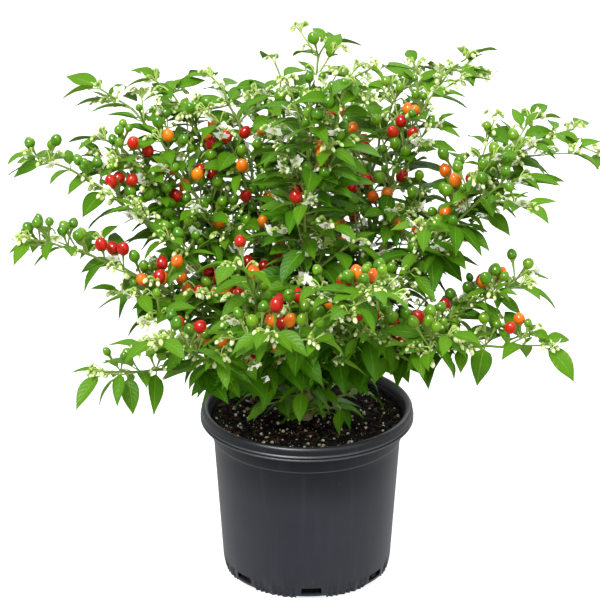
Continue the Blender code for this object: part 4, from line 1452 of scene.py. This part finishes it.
# %% Fibres
FIBRES, FIBRE_POINTS, FIBRE_REACH, FIBRE_RADIUS = 110, 6, 0.071, (0.00012, 0.00028)
fibres = Sheaf()
for _ in range(FIBRES):
    x, y, z = spot_on_ground(rng, 0.0006)
    turn, length = rng.uniform(0, 6.28), rng.uniform(0.004, 0.014)
    path = []
    for k in range(FIBRE_POINTS):
        px = min(max(x + math.cos(turn) * length * k / 5, -FIBRE_REACH), FIBRE_REACH)
        py = min(max(y + math.sin(turn) * length * k / 5, -FIBRE_REACH), FIBRE_REACH)
        if math.hypot(px, py) < FLAT_RADIUS:
            path.append((px, py, ground_height(px, py) + 0.0004 + 0.0008 * math.sin(k * 0.6)))
        turn += rng.uniform(-0.5, 0.5)
    if len(path) > 2:
        radii = np.full(len(path), rng.uniform(*FIBRE_RADIUS))
        add_tube(fibres, path, radii, 4, tint=rng.random())
stand("root_fibres", fibres.mesh("root_fibres", [fibre], 60), ["potting_mix"])
print("fibres:", made_faces["root_fibres"], "triangles")

# %% [markdown]
# ## The nursery pot
# The pot is blow-moulded from recycled black plastic: a thin tapering wall, a step, a collar and a
# rolled rim with a bead. Its section is given as corners, each with a small radius, which are
# rounded and then turned about Z. Shallow grooves run round the bottom corner, and the slots are
# cut last with a Boolean, as the mould's steel would.

# %% Section of the pot
PotCorner = namedtuple("PotCorner", "r z round")
POT_CORNERS = [PotCorner(*corner) for corner in (
    (0.0140, 0.0000, 0.0006), (0.0160, 0.0025, 0.0006), (0.0500, 0.0025, 0.0006),
    (0.0520, 0.0000, 0.0006), (0.0640, 0.0000, 0.0008), (0.0657, 0.0085, 0.0016),
    (0.0724, 0.1114, 0.0004), (0.0735, 0.1120, 0.0003), (0.0739, 0.1134, 0.0004),
    (0.0751, 0.1245, 0.0010), (0.0770, 0.1290, 0.0006), (0.0803, 0.1302, 0.0004),
    (0.0806, 0.1253, 0.0003), (0.0822, 0.1253, 0.0005), (0.0825, 0.1261, 0.0004),
    (0.0823, 0.1268, 0.0003), (0.0813, 0.1271, 0.0003), (0.0813, 0.1279, 0.0003),
    (0.0824, 0.1283, 0.0003), (0.0825, 0.1290, 0.0003), (0.0816, 0.1297, 0.0005),
    (0.0817, 0.1338, 0.0010), (0.0803, 0.1360, 0.0014), (0.0782, 0.1360, 0.0012),
    (0.0764, 0.1346, 0.0012), (0.0744, 0.1295, 0.0012), (0.0737, 0.1147, 0.0006),
    (0.0709, 0.1125, 0.0008), (0.0643, 0.0040, 0.0010),
)]


def rounded_section(corners, steps=2):
    """The section's points, with each corner replaced by a small curve."""
    flat = [Vector((corner.r, corner.z)) for corner in corners]
    ends = [Vector((0.0, flat[0].y))] + flat + [Vector((0.0, flat[-1].y))]
    points = [(0.004, flat[0].y)]
    for before, corner, after, shape in zip(ends, ends[1:], ends[2:], corners):
        near = min(shape.round, (before - corner).length * 0.45)
        far = min(shape.round, (after - corner).length * 0.45)
        a = corner + (before - corner).normalized() * near
        b = corner + (after - corner).normalized() * far
        for k in range(steps + 1):
            t = k / steps
            points.append(tuple(a * (1 - t) ** 2 + corner * (2 * t * (1 - t)) + b * t * t))
    return points + [(0.004, flat[-1].y)]


def with_steps(points, longest):
    """Adds points on long straight runs, so that the finish and grooves have something to hold."""
    full = [points[0]]
    for (r0, z0), (r1, z1) in zip(points, points[1:]):
        count = max(1, math.ceil(math.hypot(r1 - r0, z1 - z0) / longest))
        for k in range(1, count + 1):
            full.append((r0 + (r1 - r0) * k / count, z0 + (z1 - z0) * k / count))
    return full


section = np.array(with_steps(rounded_section(POT_CORNERS), 0.006))

# %% Turning and grooving
POT_SIDES = 189
GROOVE_DEPTH, GROOVE_TOP, GROOVE_FADE = 0.0017, 0.0110, 0.0025
GROOVES_BETWEEN, GROOVED_SHARE, GROOVED_RADIUS, RADIUS_FADE = 7, 0.62, 0.0600, 0.003


def groove_depth(turn):
    """How deep the corner is pressed in at a heading: small grooves between the slots."""
    pitch = 2 * math.pi / SLOTS
    local = (turn - math.radians(SLOT_HEADING)) % pitch
    share = local / pitch
    if abs(share - 0.5) > GROOVED_SHARE / 2:
        return 0.0
    wave = math.cos(2 * math.pi * (share - 0.5) / (GROOVED_SHARE / GROOVES_BETWEEN))
    return GROOVE_DEPTH * clamp(wave * 1.6 + 0.2)


turns = np.arange(POT_SIDES) * 2 * math.pi / POT_SIDES
depths = np.array([groove_depth(turn) for turn in turns])
outside = np.arange(len(section)) < np.argmax(section[:, 1])
low_down = np.clip((GROOVE_TOP - section[:, 1]) / GROOVE_FADE, 0, 1)
far_out = np.clip((section[:, 0] - GROOVED_RADIUS) / RADIUS_FADE, 0, 1)
reach = section[:, :1] - (low_down * outside * far_out)[:, None] * depths[None, :]
heights = np.broadcast_to(section[:, 1:], reach.shape)
pot = Sheaf()
add_skin(pot, np.stack([reach * np.cos(turns), reach * np.sin(turns), heights], 2))
print("pot skin:", len(section), "rings, deepest groove:", round(float(depths.max()), 4))

# %% Cutters for the slots
SLOT_WIDTH, SLOT_BOTTOM, SLOT_TOP, NOTCH_WIDTH, NOTCH_TOP = 0.0155, 0.0042, 0.0098, 0.0235, 0.0023
CUTTER_REACH, CUTTER_ROUNDING = (0.0540, 0.0760), 0.0010


def slot_block(sheaf, heading, width, bottom, top):
    """A block with rounded ends, as a cutter through the wall at the foot."""
    a = math.radians(heading)
    out, side = np.array((math.cos(a), math.sin(a))), np.array((-math.sin(a), math.cos(a)))
    outline = []
    rounding = min(CUTTER_ROUNDING, (top - bottom) * 0.4)
    for cy, cz, start in ((1, 1, 0), (-1, 1, 90), (-1, -1, 180), (1, -1, 270)):
        for k in range(4):
            b = math.radians(start + 30 * k)
            y = cy * (width / 2 - rounding) + rounding * math.cos(b)
            z = (top + bottom) / 2 + cz * ((top - bottom) / 2 - rounding) + rounding * math.sin(b)
            outline.append((y, z))
    rings = [[(*(out * r + side * y), z) for y, z in outline] for r in CUTTER_REACH]
    add_skin(sheaf, np.array(rings))


cutters = Sheaf()
for k in range(SLOTS):
    heading = SLOT_HEADING + 360 / SLOTS * k
    slot_block(cutters, heading, SLOT_WIDTH, SLOT_BOTTOM, SLOT_TOP)
    slot_block(cutters, heading, NOTCH_WIDTH, -NOTCH_TOP, NOTCH_TOP)
print("cutters:", 2 * SLOTS, "at every", round(360 / SLOTS, 1), "degrees")

# %% [markdown]
# ## Moulded plastic
# Recycled plastic is charcoal with a bluish cast. It is neither matt nor glossy, has a fine grain
# from the mould, faint upright streaks where it was pulled out, pale scuffs, and dust near the
# foot. The upper wall, collar and rim are painted darker, as shade and dark reflection under the
# crown, and thin painted highlight lines run along the step and the rim's beads.

# %% Pot finish
# Heights of the step and the rim's beads, where thin painted highlight lines run
HIGHLIGHT_LINE_HEIGHTS = (0.1120, 0.1262, 0.1288)
plastic = Finish("pot_plastic")
z = plastic.node("ShaderNodeSeparateXYZ", {}, {0: plastic.place}, "Z")
grain = plastic.noise(1600.0, 2.0)
cloud = plastic.noise(18.0, 3.0)
streaks = plastic.step(plastic.noise(200.0, 3.0, (1.0, 1.0, 0.05)), 0.50, 0.85)
scuffs = plastic.step(plastic.noise(330.0, 5.0, (1.0, 1.0, 0.5)), 0.68, 0.76)
low = 1 - plastic.step(z, 0.002, 0.026)
# Painted highlight: a thin lighter line at each of those heights
edge = sum(1 - plastic.step(abs(z - height), 0.0002, 0.0010) for height in HIGHLIGHT_LINE_HEIGHTS)
tone = plastic.blend(cloud, (0.0175, 0.0200, 0.0270), (0.0300, 0.0340, 0.0440))
# Painted shade: the wall darkens upwards from z 0.072 into the collar and rim, as shade and dark
# reflection under the crown
tone = plastic.blend(plastic.step(z, 0.072, 0.110) * 0.7, tone, (0.0045, 0.0050, 0.0065))
tone = plastic.blend(streaks * 0.20, tone, (0.048, 0.055, 0.068))
# Pale scuffs are wear; the lines at the step and beads are painted highlight
tone = plastic.blend(scuffs * 0.12 + edge * 0.45, tone, (0.13, 0.135, 0.14))
plastic.wear(
    Base_Color=plastic.blend(low * streaks * 0.25, tone, (0.10, 0.09, 0.08)),
    Roughness=0.36 + cloud * 0.08 + scuffs * 0.15,
    Specular_IOR_Level=0.5,
    Normal=plastic.bump(grain * 0.6 + streaks * 0.1, 0.00010, 0.4),
)
print("nodes in the plastic's finish:", len(plastic.tree.nodes))

# %% Cutting the slots
POT_SHARP = 40
pot_mesh = pot.mesh("pot_shell", [plastic.material], POT_SHARP)
pot_piece = stand("pot_shell", pot_mesh, ["nursery_pot"])
tool = bpy.data.objects.new("slot_tool", cutters.mesh("slot_tool", [plastic.material]))
bpy.context.scene.collection.objects.link(tool)
cut = pot_piece.modifiers.new("Slots", "BOOLEAN")
cut.operation, cut.solver, cut.object = "DIFFERENCE", "EXACT", tool
bpy.context.view_layer.update()
with_slots = pot_piece.evaluated_get(bpy.context.evaluated_depsgraph_get())
cut_mesh = bpy.data.meshes.new_from_object(with_slots)
pot_piece.modifiers.remove(cut)
pot_piece.data = cut_mesh
bpy.data.objects.remove(tool, do_unlink=True)
cut_mesh.set_sharp_from_angle(angle=math.radians(POT_SHARP))
made_faces["pot_shell"] = sum(len(face.vertices) - 2 for face in cut_mesh.polygons)
print("pot shell:", made_faces["pot_shell"], "triangles")

# %% [markdown]
# ## Floor, light and camera
# The plant stands on a plain white floor before a white backdrop. A broad sun from the upper left
# in front models the leaves, a weak one from the right opens their shadows, and one from behind
# keeps the back clear. A softbox that only reflections show puts the small highlight on each berry.
# The sky lights more from above than from below. In reflections it is much dimmer, most of all in
# front, so that leaves and berries keep their colour. Its nodes are made as a finish's are.

# %% Floor
FLOOR_RADIUS, FLOOR_SIDES, FLOOR_TONES = 14.0, 64, ((0.46, 0.46, 0.46), (0.42, 0.42, 0.42))
floor_finish = Finish("studio_floor")
floor_finish.wear(
    Base_Color=floor_finish.blend(floor_finish.noise(4.0) * 0.3, *FLOOR_TONES),
    Roughness=0.8,
    Emission_Color=(1, 1, 1, 1),
    Emission_Strength=0.75,
)
floor_mesh = bpy.data.meshes.new("studio_floor")
around = np.linspace(0, 2 * math.pi, FLOOR_SIDES + 1)[:-1]
corners = [(FLOOR_RADIUS * math.cos(a), FLOOR_RADIUS * math.sin(a), -GAP) for a in around]
floor_mesh.from_pydata(corners, [], [list(range(FLOOR_SIDES))])
floor_mesh.materials.append(floor_finish.material)
floor = bpy.data.objects.new("studio_floor", floor_mesh)
floor.visible_diffuse = floor.visible_glossy = False
bpy.context.scene.collection.objects.link(floor)
floor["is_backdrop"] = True
print("floor:", 2 * FLOOR_RADIUS, "m across")

# %% Sky
SKY_SEEN, SKY_LIGHT, LIGHT_BELOW = 1.0, 1.26, 0.80
GLOSS_IN_FRONT, GLOSS_BEHIND = 0.09, 0.68
sky = Finish("studio", bpy.data.worlds.new("studio"))


def sky_between(axis, low, high, dark, bright):
    """A brightness that runs from dark to bright as a ray turns along an axis."""
    toward = sky.node("ShaderNodeSeparateXYZ", {}, {0: sky.place}, axis)
    limits = {"Value": toward, "From Min": low, "From Max": high, "To Min": dark, "To Max": bright}
    return sky.node("ShaderNodeMapRange", {}, limits)


gloss = sky_between("Y", -0.9, 0.5, GLOSS_IN_FRONT, GLOSS_BEHIND)
strength = sky_between("Z", -0.6, 0.6, LIGHT_BELOW, SKY_LIGHT)
for kind, wanted in (("Is Glossy Ray", gloss), ("Is Camera Ray", SKY_SEEN)):
    mixed = {0: sky.node("ShaderNodeLightPath", output=kind), 2: strength, 3: wanted}
    strength = sky.node("ShaderNodeMix", {"data_type": "FLOAT"}, mixed)
bpy.context.scene.world = sky.wear(Color=(1, 1, 1, 1), Strength=strength)
bpy.context.scene.view_settings.view_transform = "Standard"
print("nodes in the sky:", len(sky.tree.nodes))

# %% Suns and softbox
Lamp = namedtuple("Lamp", "name place power spread only_gloss")
LAMPS = (
    Lamp("key", (-0.9, -1.4, 2.3), 2.0, 16, False),
    Lamp("fill", (1.3, -1.7, 0.9), 0.62, 50, False),
    Lamp("back", (0.6, 1.8, 1.6), 0.7, 35, False),
    Lamp("softbox", (-0.8, -1.5, 2.2), 5.0, 31, True),
)
for lamp in LAMPS:
    light = bpy.data.lights.new(lamp.name, "SUN")
    light.energy, light.angle = lamp.power, math.radians(lamp.spread)
    ob = bpy.data.objects.new(lamp.name, light)
    bpy.context.scene.collection.objects.link(ob)
    ob.location, ob.visible_diffuse = lamp.place, not lamp.only_gloss
    ob.rotation_euler = Vector(lamp.place).to_track_quat("Z", "Y").to_euler()
print("lamps:", [lamp.name for lamp in LAMPS])

# %% Camera
CAMERA_PLACE, LOOKS_DOWN, LENS, SENSOR = (-0.0054, -2.0325, 1.0647), 22.5, 173.3, 36.0
camera_data = bpy.data.cameras.new("camera")
camera_data.lens, camera_data.sensor_width = LENS, SENSOR
camera_data.clip_start, camera_data.clip_end = 0.05, 60.0
camera = bpy.data.objects.new("camera", camera_data)
camera.location = CAMERA_PLACE
camera.rotation_euler = (math.radians(90 - LOOKS_DOWN), 0, 0)
bpy.context.scene.collection.objects.link(camera)
bpy.context.scene.camera = camera
print("camera looks down by", LOOKS_DOWN, "degrees from", CAMERA_PLACE)

# %% [markdown] ## Sizes, and the end The box of the finished model is printed, to set beside that of
# the solid one printed at the start: leaves and buds may stand only a little proud of it.

# %% The finished size
low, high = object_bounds()
largest = max(made_faces, key=made_faces.get)
print("triangles:", sum(made_faces.values()), "largest piece:", largest, made_faces[largest])
print("pieces:", len(made_faces), "box:", [round(v, 4) for v in (*low, *high)])
